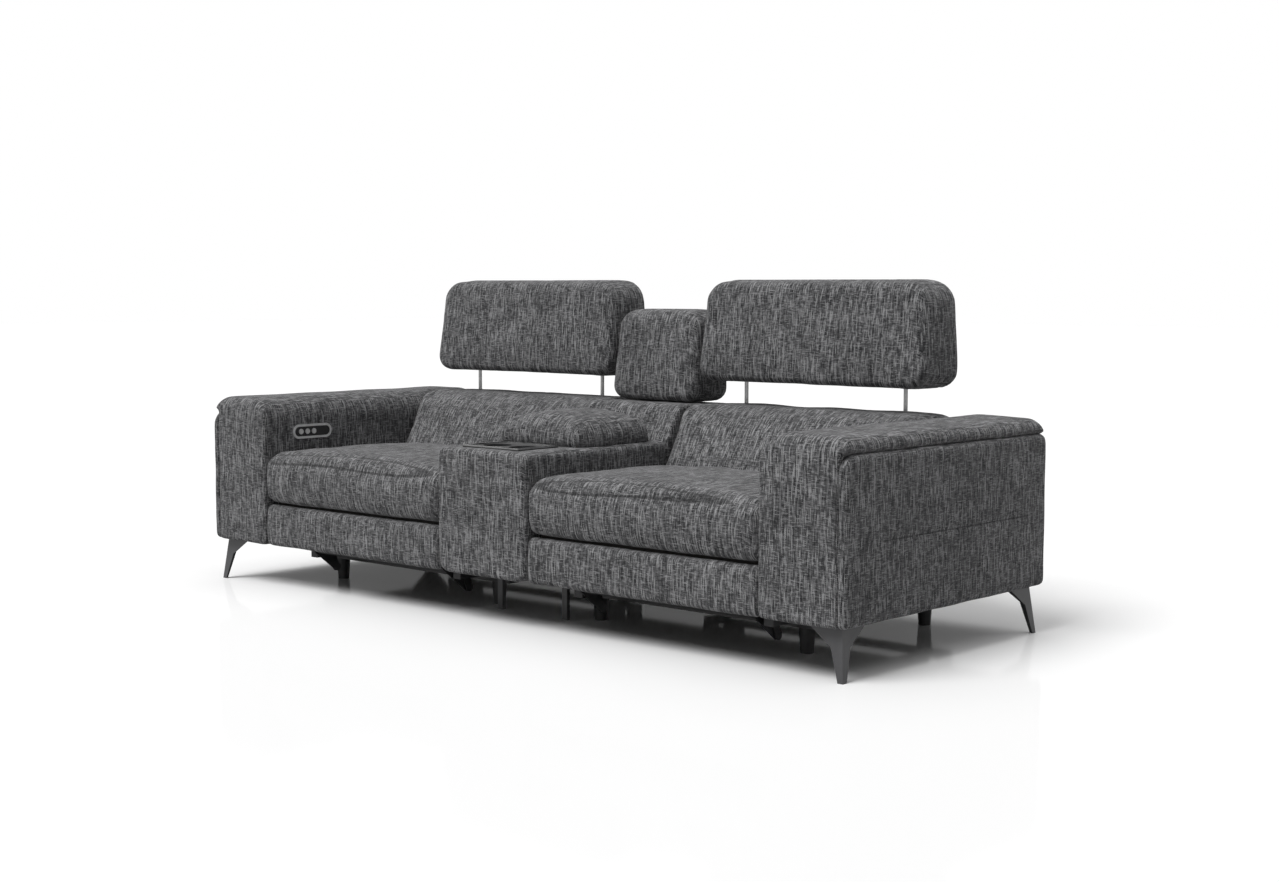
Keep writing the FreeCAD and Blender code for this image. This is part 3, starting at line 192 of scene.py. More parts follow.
class Recipe:
    """The node tree of a material or a world, built from Value expressions."""

    def __init__(self, owner, ending="ShaderNodeOutputMaterial"):
        self.owner = owner
        self.ending = ending
        owner.use_nodes = True
        self.tree = owner.node_tree
        self.tree.nodes.clear()

    @classmethod
    def material(cls, name):
        return cls(bpy.data.materials.new(name))

    def node(self, kind, settings=None, sockets=None, output=0):
        """Add one node: its settings first, then the values or links of its sockets."""
        made = self.tree.nodes.new(kind)
        for key, setting in (settings or {}).items():
            setattr(made, key, setting)
        for key, value in (sockets or {}).items():
            if isinstance(value, Value):
                self.tree.links.new(value.socket, made.inputs[key])
            else:
                made.inputs[key].default_value = value
        return Value(self, made.outputs[output])

    def maths(self, operation, *terms):
        return self.node("ShaderNodeMath", {"operation": operation}, dict(enumerate(terms)))

    def noise(self, vector, scale, detail=2.0, roughness=0.5, dimensions="2D"):
        sockets = {"Vector": vector, "Scale": scale, "Detail": detail, "Roughness": roughness}
        return self.node("ShaderNodeTexNoise", {"noise_dimensions": dimensions}, sockets)

    def grain(self, scale, detail=2.0, roughness=0.5, stretch=(1.0, 1.0, 1.0)):
        """Noise through the solid, at its coordinates in metres, each times its stretch."""
        places = self.node("ShaderNodeTexCoord", output="Object")
        places = self.node("ShaderNodeMapping", None, {"Vector": places, "Scale": stretch})
        return self.noise(places, scale, detail, roughness, "3D")

    def ramp(self, factor, *stops):
        """Blend from colour to colour. Each stop is a position and a colour."""
        made = self.node("ShaderNodeValToRGB", None, {0: factor})
        elements = made.socket.node.color_ramp.elements
        while len(elements) < len(stops):
            elements.new(0.5)
        for element, (position, tone) in zip(elements, stops):
            element.position = position
            element.color = four(tone)
        return made

    def mix(self, factor, first, second, blend="MIX"):
        """Blend two colours."""
        settings = {"data_type": "RGBA", "blend_type": blend}
        return self.node("ShaderNodeMix", settings, {0: factor, 6: first, 7: second}, 2)

    def split(self, vector):
        parts = self.node("ShaderNodeSeparateXYZ", None, {0: vector})
        return [Value(self, output) for output in parts.socket.node.outputs]

    def join(self, x, y):
        return self.node("ShaderNodeCombineXYZ", None, {0: x, 1: y})

    def bump(self, height, strength, distance):
        sockets = {"Strength": strength, "Distance": distance, "Height": height}
        return self.node("ShaderNodeBump", None, sockets)

    def surface(self, **sockets):
        """Finish with a Principled shader. Words in a name stand for the socket's words."""
        named = {key.replace("_", " "): value for key, value in sockets.items()}
        return self.finish(self.node("ShaderNodeBsdfPrincipled", None, named))

    def finish(self, shader):
        ending = self.tree.nodes.new(self.ending)
        self.tree.links.new(shader.socket, ending.inputs["Surface"])
        return self.owner


def four(tone):
    """A colour with its alpha."""
    return (*tone, 1.0)


def grey(tone):
    return (tone,) * 3


def scaled(colour, factor):
    return tuple(channel * factor for channel in colour)


def woven_fabric(settings):
    """Charcoal woven cover. Each warp and each weft thread has its own row of noise, so a pale
    slub runs along one thread, and threads cross over and under in turn."""
    recipe = Recipe.material(FABRIC)
    laid = recipe.node("ShaderNodeUVMap", {"uv_map": "weave"}, output="UV")
    u, v = recipe.split(laid)[:2]
    drift = recipe.noise(laid, 16.0, 1.0) - 0.5
    sway = recipe.noise(recipe.join(v + 3.7, u + 1.9), 21.0, 1.0) - 0.5
    u = u + drift * settings.waver
    v = v + sway * settings.waver
    across = u / settings.pitch
    along = v / settings.pitch
    warp_number = across.floor()
    weft_number = along.floor()

    # Yarn: a row of noise for each thread, with finer streaks over both
    rate = 1.0 / settings.slub
    warp = recipe.noise(recipe.join(warp_number * 7.31, v * rate), 1.0, 2.0, 0.62)
    weft = recipe.noise(recipe.join(u * (rate * 2.2), weft_number * 5.77 + 91.0), 1.0, 2.0, 0.62)
    streak = recipe.noise(recipe.join(u * 165.0, v * 13.0), 1.0, 2.0, 0.6)
    over = ((warp_number + weft_number) * 0.5).fraction() * 2.0
    tone = weft + (warp - weft) * (over * 0.40 + 0.34) + (streak - 0.5) * 0.26
    ground = recipe.ramp(tone, (0.36, settings.dark), (0.50, settings.middle),
                         (0.62, scaled(settings.middle, 2.2)))

    # Slubs: pale dashes, clearer along the warp
    warp_slub = warp.smooth(0.57, 0.66) * (over * 0.40 + 0.60)
    weft_slub = weft.smooth(0.59, 0.70) * (1.0 - over * 0.6) * 0.65
    slub = warp_slub.larger(weft_slub)
    tinted = recipe.mix(slub * 0.58, ground, four(settings.pale))
    cloudy = recipe.ramp(recipe.noise(laid, 7.0, 3.0), (0.3, grey(0.80)), (0.7, grey(1.0)))
    shaded = recipe.mix(1.0, tinted, cloudy, "MULTIPLY")

    # Seam: a dark line where the piece's own map says that it shows
    seams = recipe.node("ShaderNodeAttribute", {"attribute_name": "seam"}, output="Vector")
    distance, shown = recipe.split(seams)[:2]
    edge = settings.seam
    line = (1.0 - distance.size().smooth(edge * 0.3, edge)) * shown
    sewn = recipe.mix(line * 0.62, shaded, four(scaled(settings.dark, 0.35)))

    # Relief: each thread is round, and the one that lies over stands out
    warp_round = (across.fraction() * math.pi).sine()
    weft_round = (along.fraction() * math.pi).sine()
    height = weft_round + (warp_round - weft_round) * over + slub * 0.6
    return recipe.surface(Base_Color=sewn, Roughness=0.97 - slub * 0.12,
                          Normal=recipe.bump(height, 0.55, 0.0007), Sheen_Weight=0.12,
                          Sheen_Roughness=0.45, Specular_IOR_Level=0.25)


def painted_metal(name, tone, rough, grain):
    """Powder coat: fine orange peel, with a slow change of tone and gloss."""
    recipe = Recipe.material(name)
    peel = recipe.grain(900.0)
    slow = recipe.grain(11.0, 3.0)
    pale = tuple(channel * 1.35 + 0.004 for channel in tone)
    return recipe.surface(Base_Color=recipe.ramp(slow, (0.35, tone), (0.70, pale)),
                          Roughness=slow * 0.16 + (rough - 0.08),
                          Normal=recipe.bump(peel, grain, 0.0002), Coat_Weight=0.25,
                          Coat_Roughness=0.3)


def brushed_chrome(name, dull, bright, rough):
    """Plated steel with brush lines and faint handling marks."""
    recipe = Recipe.material(name)
    marks = recipe.grain(60.0, 3.0, 0.6)
    fine = recipe.grain(1400.0, 1.0, stretch=(1.0, 1.0, 0.03))
    plate = recipe.ramp(marks, (0.3, grey(dull)), (0.7, grey(bright)))
    return recipe.surface(Base_Color=plate, Metallic=1.0, Roughness=marks * 0.14 + rough,
                          Normal=recipe.bump(fine, 0.12, 0.0001))


def moulded_plastic(name):
    """Black plastic with a fine spark eroded grain."""
    recipe = Recipe.material(name)
    sparks = recipe.grain(1300.0, 2.0, 0.6)
    slow = recipe.grain(24.0)
    body = recipe.ramp(slow, (0.3, (0.010, 0.010, 0.011)), (0.7, (0.022, 0.022, 0.023)))
    return recipe.surface(Base_Color=body, Roughness=slow * 0.2 + 0.30,
                          Normal=recipe.bump(sparks, 0.3, 0.0002))


def shade_darkened_timber(name):
    """Frame timber made nearly black as painted shade, so that the deck seen in the gaps between
    the cushions reads dark: growth rings stretched along the boards.
    """
    recipe = Recipe.material(name)
    rings = recipe.grain(55.0, 4.0, 0.6, stretch=(1.0, 0.12, 1.0))
    wood = recipe.ramp(rings, (0.35, (0.016, 0.013, 0.011)), (0.52, (0.026, 0.022, 0.018)),
                       (0.7, (0.040, 0.033, 0.027)))
    return recipe.surface(Base_Color=wood, Roughness=0.72 - rings * 0.2,
                          Normal=recipe.bump(rings, 0.25, 0.0004))


# Skins

def resample(points, step):
    """Closed line at even spacing: both coordinates are read off at equal steps of the
    distance run along the points."""
    closed = np.vstack([points, points[:1]])
    run = np.concatenate([[0.0], np.cumsum(np.linalg.norm(np.diff(closed, axis=0), axis=1))])
    at = np.linspace(0.0, run[-1], max(12, round(run[-1] / step)), endpoint=False)
    return np.column_stack([np.interp(at, run, closed[:, column]) for column in (0, 1)])


def outline(corners, step=0.006):
    """Closed outline with round corners (a, b, radius), anticlockwise. In each corner lies the
    circle that touches both sides: its centre is radius / sin(half the corner's angle) along
    the bisector."""
    places = np.array([corner[:2] for corner in corners], float)
    runs = []
    for index, corner in enumerate(corners):
        here, radius = places[index], corner[2]
        if radius <= 0:
            runs.append(here[None])
            continue
        back = places[index - 1] - here
        ahead = places[(index + 1) % len(places)] - here
        back /= np.linalg.norm(back)
        ahead /= np.linalg.norm(ahead)
        half = 0.5 * math.acos(float(np.clip(back @ ahead, -1.0, 1.0)))
        bisector = (back + ahead) / np.linalg.norm(back + ahead)
        hub = here + bisector * radius / math.sin(half)
        spokes = [here + side * radius / math.tan(half) - hub for side in (back, ahead)]
        first, last = [math.atan2(spoke[1], spoke[0]) for spoke in spokes]
        turn = (last - first + math.pi) % (2 * math.pi) - math.pi
        angles = first + turn * np.linspace(0.0, 1.0, 9)
        runs.append(hub + radius * np.column_stack([np.cos(angles), np.sin(angles)]))
    return resample(np.vstack(runs), step)


def box_outline(low_a, high_a, low_b, high_b, radii, step=0.006):
    """Rectangle with a radius at each corner, from low-low round to low-high."""
    places = ((low_a, low_b), (high_a, low_b), (high_a, high_b), (low_a, high_b))
    return outline([(*place, radius) for place, radius in zip(places, radii)], step)


def run_with_round_ends(low, high, low_round, high_round, step=0.02):
    """Places along a sweep, and how far the outline draws in at each: r (1 - sin t) at a
    distance r (1 - cos t) from the end, for t from 0 to a quarter turn."""
    angle = np.linspace(0.0, math.pi / 2, 7)
    first = low + low_round * (1 - np.cos(angle))
    last = high - high_round * (1 - np.cos(angle[::-1]))
    count = max(3, round((last[0] - first[-1]) / step))
    middle = np.linspace(first[-1], last[0], count + 1)[1:-1]
    places = np.concatenate([first, middle, last])
    draws = np.concatenate([low_round * (1 - np.sin(angle)), np.zeros(len(middle)),
                            high_round * (1 - np.sin(angle[::-1]))])
    return places, draws


def rounding(from_end, radius):
    """How far a quarter circle that ends a straight line lies below it: R - sqrt(R^2 - (R - e)^2)
    at a distance e from the end."""
    short = np.clip(radius - from_end, 0.0, radius)
    return radius - np.sqrt(np.maximum(radius ** 2 - short ** 2, 0.0))


def sweep(axis, loop, places, draws):
    """Grid of points (place, step round): the outline moved inwards along its own normals by
    the draw at each place along the axis."""
    tangent = np.roll(loop, -1, axis=0) - np.roll(loop, 1, axis=0)
    tangent /= np.linalg.norm(tangent, axis=1, keepdims=True)
    inward = np.column_stack([-tangent[:, 1], tangent[:, 0]])
    rings = loop[None] + inward[None] * draws[:, None, None]
    along = np.broadcast_to(places[:, None], rings.shape[:2])
    order = {"X": (along, rings[..., 0], rings[..., 1]),
             "Y": (rings[..., 0], along, rings[..., 1])}[axis]
    return np.stack(order, axis=-1)


def skin(grid):
    """Closed mesh from a grid of rings: four-sided faces between rings, one face on each end."""
    rings, steps = grid.shape[:2]
    numbers = np.arange(rings * steps).reshape(rings, steps)
    right = np.roll(numbers, -1, axis=1)
    quads = np.stack([numbers[:-1], right[:-1], right[1:], numbers[1:]], axis=-1).reshape(-1, 4)
    faces = quads.tolist() + [numbers[0][::-1].tolist(), numbers[-1].tolist()]
    mesh = bpy.data.meshes.new("form")
    mesh.from_pydata(grid.reshape(-1, 3).tolist(), [], faces)
    return face_outwards(mesh)


def face_outwards(mesh):
    form = bmesh.new()
    form.from_mesh(mesh)
    bmesh.ops.recalc_face_normals(form, faces=form.faces)
    form.to_mesh(mesh)
    form.free()
    return mesh


def modified(mesh, kind, **settings):
    """Apply one modifier and give back the plain mesh."""
    carrier = bpy.data.objects.new("carrier", mesh)
    bpy.context.scene.collection.objects.link(carrier)
    modifier = carrier.modifiers.new(kind.title(), kind)
    for key, value in settings.items():
        setattr(modifier, key, value)
    graph = bpy.context.evaluated_depsgraph_get()
    graph.update()
    result = bpy.data.meshes.new_from_object(carrier.evaluated_get(graph))
    bpy.data.objects.remove(carrier)
    return result


def subdivided(mesh):
    return modified(mesh, "SUBSURF", levels=1, render_levels=1)


def rows(items, name, width, kind=np.float32):
    """One measure of every vertex, edge, face or corner, a row for each."""
    values = np.empty(len(items) * width, kind)
    items.foreach_get(name, values)
    return values.reshape(-1, width)


def points_of(mesh):
    return rows(mesh.vertices, "co", 3).astype(float)


def normals_of(mesh):
    return rows(mesh.vertices, "normal", 3).astype(float)


def set_points(mesh, points):
    mesh.vertices.foreach_set("co", points.astype(np.float32).ravel())
    mesh.update()


def relax(mesh, times):
    """Move every point half way to the mean of its neighbours, a number of times."""
    first, second = rows(mesh.edges, "vertices", 2, np.int32).T
    points = points_of(mesh)
    count = np.bincount(first, minlength=len(points)) + np.bincount(second, minlength=len(points))
    for _ in range(times):
        total = np.column_stack([
            np.bincount(first, points[second, column], len(points))
            + np.bincount(second, points[first, column], len(points)) for column in range(3)])
        points += (total / count[:, None] - points) * 0.5
    set_points(mesh, points)


def padded_skin(grid, voxel, relaxing=2):
    """Even skin over a swept form, softened a little."""
    mesh = modified(skin(grid), "REMESH", mode="VOXEL", voxel_size=voxel)
    relax(mesh, relaxing)
    return mesh


def start_inset():
    return START


def fill_with_padding(mesh, held, swell):
    """Cloth under inner pressure for a few frames, then subdivided. Points that are held
    stay, and how far the others move levels off at the swell: swell * tanh(distance /
    swell)."""
    start = points_of(mesh)
    carrier = bpy.data.objects.new("padding", mesh)
    bpy.context.scene.collection.objects.link(carrier)
    group = carrier.vertex_groups.new(name="held")
    group.add(np.flatnonzero(held).tolist(), 1.0, "REPLACE")
    cloth = carrier.modifiers.new("Cloth", "CLOTH")
    cloth.settings.use_pressure = True
    cloth.settings.uniform_pressure_force = 4.0
    cloth.settings.effector_weights.gravity = 0.0
    cloth.settings.shrink_min = -SLACK
    cloth.settings.quality = 4
    cloth.settings.vertex_group_mass = "held"
    cloth.point_cache.frame_start = 1
    cloth.point_cache.frame_end = CLOTH_FRAMES
    for number in range(1, CLOTH_FRAMES + 1):
        bpy.context.scene.frame_set(number)
    graph = bpy.context.evaluated_depsgraph_get()
    filled = bpy.data.meshes.new_from_object(carrier.evaluated_get(graph))
    moved = points_of(filled) - start
    bpy.data.objects.remove(carrier)
    bpy.context.scene.frame_set(1)
    far = np.linalg.norm(moved, axis=1, keepdims=True)
    gain = np.where(far > 1e-9, swell * np.tanh(far / swell) / np.maximum(far, 1e-9), 0.0)
    set_points(filled, start + moved * gain)
    return subdivided(filled)


def waves(points, wavelength, seed):
    """Smooth unevenness from -1 to 1: six sine waves in fixed random directions."""
    picks = np.random.default_rng(seed)
    total = np.zeros(len(points))
    for _ in range(6):
        way = picks.normal(size=3)
        way *= 2 * math.pi / (wavelength * picks.uniform(0.7, 1.5) * np.linalg.norm(way))
        total += np.sin(points @ way + picks.uniform(0, 2 * math.pi))
    return total / 3.2


def uneven(mesh, height, wavelength, seed):
    """A skin's points, moved along their normals by a smooth unevenness."""
    points = points_of(mesh)
    return points + normals_of(mesh) * (height * waves(points, wavelength, seed))[:, None]


def bell(distance, width):
    return np.exp(-(distance / width) ** 2)


def between(values, low, high, soft):
    """1 between low and high, falling to 0 over a soft distance outside."""
    return np.clip((values - low) / soft + 1, 0, 1) * np.clip((high - values) / soft + 1, 0, 1)


def sew(points, normals, distance, along, settings, depth=1.0, shown=1.0, seed=0):
    """Draw the skin in along a seam: a bell shaped groove, with ripples across it beside it."""
    groove = settings.groove * depth * bell(distance, settings.groove_width)
    ripple = np.sin(along * 2 * math.pi / RIPPLE_LENGTH + 2.2 * waves(points, 0.09, seed))
    near = np.abs(distance) * bell(distance, RIPPLE_REACH) / RIPPLE_PEAK
    lift = settings.pucker * depth * ripple * near - groove
    return points + normals * (lift * shown)[:, None]


def lay_weave(mesh):
    """Thread map in metres: a face that looks along X reads (y, z), and any other (x, y + z),
    so threads run on over the front edge of a cushion."""
    corners = rows(mesh.loops, "vertex_index", 1, np.int32).ravel()
    sizes = rows(mesh.polygons, "loop_total", 1, np.int32).ravel()
    facing = rows(mesh.polygons, "normal", 3)
    sideways = np.repeat(np.abs(facing[:, 0]) > SIDEWAYS, sizes)
    places = points_of(mesh)[corners]
    u = np.where(sideways, places[:, 1], places[:, 0])
    v = np.where(sideways, places[:, 2], places[:, 1] + places[:, 2])
    layer = mesh.uv_layers.new(name="weave")
    layer.data.foreach_set("uv", np.column_stack([u, v]).astype(np.float32).ravel())


def mark_seam(mesh, distance, shown):
    """Signed distance to a seam, and where the seam shows, for the fabric's shader."""
    count = len(mesh.vertices)
    distance = np.full(count, SEAM_REACH) if distance is None else distance
    shown = np.ones(count) if shown is None else shown
    vectors = [np.clip(distance, -SEAM_REACH, SEAM_REACH), shown, np.zeros(count)]
    attribute = mesh.attributes.new("seam", "FLOAT_VECTOR", "POINT")
    attribute.data.foreach_set("vector", np.column_stack(vectors).astype(np.float32).ravel())


def on_side(mesh, sign):
    """A copy of a skin made for the right side, or its mirror image for the left."""
    other = mesh.copy()
    if sign < 0:
        other.transform(Matrix.Diagonal((-1, 1, 1, 1)))
        other.flip_normals()
    return other


def fabric():
    """The woven cover, made once."""
    return bpy.data.materials.get(FABRIC) or woven_fabric(bpy.context.scene.sofa_fabric)


def upholster(name, mesh, body, replaced, points=None, seam=None, shown=None):
    """Make a fabric piece: place its points, lay the weave and mark the seam, smooth its faces,
    hang it on what it rides on and hide the part that it stands for."""
    if points is not None:
        set_points(mesh, points)
    lay_weave(mesh)
    mark_seam(mesh, seam, shown)
    mesh.name = name
    mesh.materials.clear()
    mesh.materials.append(fabric())
    mesh.polygons.foreach_set("material_index", np.zeros(len(mesh.polygons), np.int32))
    mesh.shade_smooth()
    piece = bpy.data.objects.new(name, mesh)
    bpy.context.scene.collection.objects.link(piece)
    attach(piece, body)
    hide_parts(replaced)


# Pieces

class SOFA_OT_arms(bpy.types.Operator):
    """Upholster both arms: a padded body with round upper edges and a panel on its outer side"""
    bl_idname = "sofa.arms"
    bl_label = "Arms"

    end_round = 0.047
    corner = 0.012
    band_foot = 0.5455
    band_fall = 0.006
    band_round = 0.036
    inner_round = 0.074
    clearance = 0.0003
    taper_start = 0.012
    panel_crown = 0.004
    panel_radii = (0.017, 0.017, 0.024, 0.046)
    seam_height = 0.329
    seam_run = (-0.30, 0.365)

    def arm_grid(self):
        """Cross outline swept along Y. Within R of each end the top is lowered by the rounding,
        and what lies under it in proportion to its height over the foot of the curve. The
        overhang outside the panel shrinks by the rounding / R."""
        low, high = ARM_LOW, ARM_HIGH
        notch = PANEL_LOW.x - self.clearance
        band = high.x - 0.001
        loop = outline([
            (low.x, low.z, 0.014),
            (notch, low.z, 0.004),
            (notch, self.band_foot, 0.0),
            (band, self.band_foot, 0.009),
            (band, high.z - self.band_fall, self.band_round),
            (low.x, high.z, self.inner_round),
        ])
        places, _ = run_with_round_ends(low.y, high.y, self.corner, self.corner, 0.012)
        ends = 0.5 * (1 - np.cos(np.linspace(0, math.pi, 90)))
        places = np.unique(np.concatenate([places, low.y + ends * (high.y - low.y)]))
        from_end = np.minimum(places - low.y, high.y - places)
        grid = sweep("Y", loop, places, rounding(from_end, self.corner))
        lower = rounding(from_end, self.end_round)[:, None]
        foot = high.z - self.end_round
        share = np.clip((grid[..., 2] - foot) / self.end_round, 0.0, 1.0)
        over = np.clip(grid[..., 0] - notch - self.taper_start, 0.0, None)
        grid[..., 0] -= over * (lower / self.end_round)
        grid[..., 2] -= share * lower
        return grid

    def panel_grid(self):
        """Side outline swept along X, rounded at the outer face, which crowns as
        (1 - a^4)(1 - b^4) over the panel's length and height."""
        low, high = PANEL_LOW, PANEL_HIGH
        loop = box_outline(low.y, high.y, low.z, high.z, self.panel_radii)
        outer = high.x - self.panel_crown
        grid = sweep("X", loop, *run_with_round_ends(low.x, outer, 0.0, 0.015, 0.004))
        a = (grid[..., 1] - (low.y + high.y) / 2) / ((high.y - low.y) / 2)
        b = (grid[..., 2] - (low.z + high.z) / 2) / ((high.z - low.z) / 2)
        out = np.clip((grid[..., 0] - low.x) / (high.x - low.x), 0, 1)
        grid[..., 0] += self.panel_crown * (1 - a ** 4) * (1 - b ** 4) * out
        return grid

    def execute(self, context):
        padding = context.scene.sofa_padding
        body = padded_skin(self.arm_grid(), padding.fine_voxel, 3)
        panel = padded_skin(self.panel_grid(), padding.fine_voxel, 3)
        for side, sign in SIDES:
            arm = on_side(body, sign)
            points = uneven(arm, 0.0009, 0.16, 11 + sign)
            upholster(f"{side}_arm_cover", arm, "root", f"{side}_arm_upholstery", points)
            plate = on_side(panel, sign)
            points, normals = points_of(plate), normals_of(plate)
            level = points[:, 2] - self.seam_height
            outside = between(np.abs(points[:, 0]), PANEL_HIGH.x - 0.012, FAR, 0.004)
            shown = between(points[:, 1], *self.seam_run, 0.02) * outside
            points = sew(points, normals, level, points[:, 1], padding, 1.1, shown, 5 + sign)
            points += normals * (0.0008 * waves(points, 0.13, 21 + sign))[:, None]
            upholster(f"{side}_arm_panel_cover", plate, "root", f"{side}_arm_side_panel", points,
                      level, shown)
        return {"FINISHED"}


class SOFA_OT_seats(bpy.types.Operator):
    """Upholster both seat cushions, filled with padding and sewn along their front edge"""
    bl_idname = "sofa.seats"
    bl_label = "Seat cushions"

    corner_height = 0.418
    end_round = 0.024
    crown = 0.016
    crown_lengthwise = 0.004
    crown_foot, crown_rise = 0.34, 0.078
    front_bow = 0.006
    bow_middle, bow_half = 0.333, 0.075
    bow_rear, bow_fade = -0.38, 0.08
    seam_front = 0.4525
    seam_height = 0.4075
    seam_slope = 0.9

    def grid(self, start):
        """Side outline swept along X. The front bows out by 1 - h^2 over its height, and the
        top crowns by 1 - x^2 across and 1 - y^2 from front to back."""
        low, high = SEAT_LOW, SEAT_HIGH
        front = low.y + self.front_bow + start
        top = self.corner_height - start
        loop = outline([
            (front, low.z, 0.030),
            (high.y, low.z, 0.008),
            (high.y, top, 0.034),
            (front, top, 0.040),
        ])
        aside = start * SIDE_START
        grid = sweep("X", loop, *run_with_round_ends(low.x + aside, high.x - aside,
                                                     self.end_round, self.end_round))
        across = (grid[..., 0] - BAY_MIDDLE) / ((high.x - low.x) / 2)
        deep = (grid[..., 1] - (low.y + high.y) / 2) / ((high.y - low.y) / 2)
        upper = np.clip((grid[..., 2] - self.crown_foot) / self.crown_rise, 0.0, 1.0) ** 1.5
        grid[..., 2] += upper * (self.crown * (1 - across ** 2)
                                 + self.crown_lengthwise * (1 - deep ** 2))
        bow = 1 - ((grid[..., 2] - self.bow_middle) / self.bow_half) ** 2
        ahead = np.clip((self.bow_rear - grid[..., 1]) / self.bow_fade, 0.0, 1.0)
        grid[..., 1] -= self.front_bow * np.clip(bow, 0, 1) * ahead
        return grid

    def seam(self, points):
        """Distance to the seam's plane, which slopes back as it rises over the front roll."""
        height = points[:, 2] - self.seam_height
        return (points[:, 1] + self.seam_front) - height * self.seam_slope

    def form(self, padding):
        """The filled cushion, held at its bottom and rear and, over the front, at its seam."""
        low, high = SEAT_LOW, SEAT_HIGH
        form = padded_skin(self.grid(start_inset()), padding.voxel)
        points = points_of(form)
        held = (points[:, 2] < low.z + 0.014) | (points[:, 1] > high.y - 0.012)
        held |= np.abs(self.seam(points)) < 0.004
        held &= (points[:, 1] < -0.43) | (points[:, 2] < 0.30) | (points[:, 1] > 0.05)
        return fill_with_padding(form, held, padding.swell * 0.45)

    def execute(self, context):
        padding = context.scene.sofa_padding
        low, high = SEAT_LOW, SEAT_HIGH
        form = self.form(padding)
        for side, sign in SIDES:
            cushion = on_side(form, sign)
            points, normals = points_of(cushion), normals_of(cushion)
            seam = self.seam(points) + 0.003 * waves(points, 0.5, 31 + sign)
            near = between(points[:, 2], 0.37, FAR, 0.01)
            inner = between(np.abs(points[:, 0]), low.x + 0.03, high.x - 0.03, 0.02)
            shown = near * inner
            points = sew(points, normals, seam, points[:, 0], padding, 0.75, shown, 41 + sign)
            top = between(points[:, 2], 0.40, FAR, 0.02)
            drift = waves(points, 0.35, 51 + sign) * 2
            fold = np.clip(np.sin(points[:, 1] * 31 + points[:, 0] * 7 + drift), 0.2, 1.0)
            fold = 0.0016 * fold * waves(points, 0.22, 61 + sign) * top
            points += normals * (fold + 0.0013 * waves(points, 0.17, 71 + sign))[:, None]
            x = np.clip(np.abs(points[:, 0]), low.x - 0.0012, high.x + 0.0012)
            points[:, 0] = np.sign(points[:, 0]) * x
            points[:, 2] = np.maximum(points[:, 2], low.z)
            points[:, 1] = np.minimum(points[:, 1], high.y + 0.002)
            upholster(f"{side}_seat_cover", cushion, f"{side}_seat", f"{side}_seat_cushion",
                      points, seam, shown)
        return {"FINISHED"}


class SOFA_OT_footrests(bpy.types.Operator):
    """Upholster both footrest panels"""
    bl_idname = "sofa.footrests"
    bl_label = "Footrests"

    voxel = 0.0045
    bow = 0.005
    radii = (0.015, 0.003, 0.003, 0.015)

    def grid(self):
        """Side outline swept along X, with a front face that bows out by 1 - h^2."""
        low, high = FOOTREST_LOW, FOOTREST_HIGH
        loop = box_outline(low.y + 0.003, high.y, low.z, high.z, self.radii, 0.004)
        grid = sweep("X", loop, *run_with_round_ends(low.x, high.x, 0.013, 0.013))
        height = (grid[..., 2] - (low.z + high.z) / 2) / ((high.z - low.z) / 2)
        ahead = np.clip((high.y - 0.012 - grid[..., 1]) / 0.012, 0.0, 1.0)
        grid[..., 1] -= self.bow * np.clip(1 - height ** 2, 0, 1) * ahead
        return grid

    def execute(self, context):
        form = padded_skin(self.grid(), self.voxel)
        low, high = FOOTREST_LOW, FOOTREST_HIGH
        for side, sign in SIDES:
            pad = on_side(form, sign)
            points = uneven(pad, 0.0008, 0.12, 81 + sign)
            points[:, 1] = np.minimum(points[:, 1], high.y)
            points[:, 2] = np.clip(points[:, 2], low.z, high.z + 0.001)
            upholster(f"{side}_footrest_cover", pad, f"{side}_footrest", f"{side}_footrest_pad",
                      points)
        return {"FINISHED"}


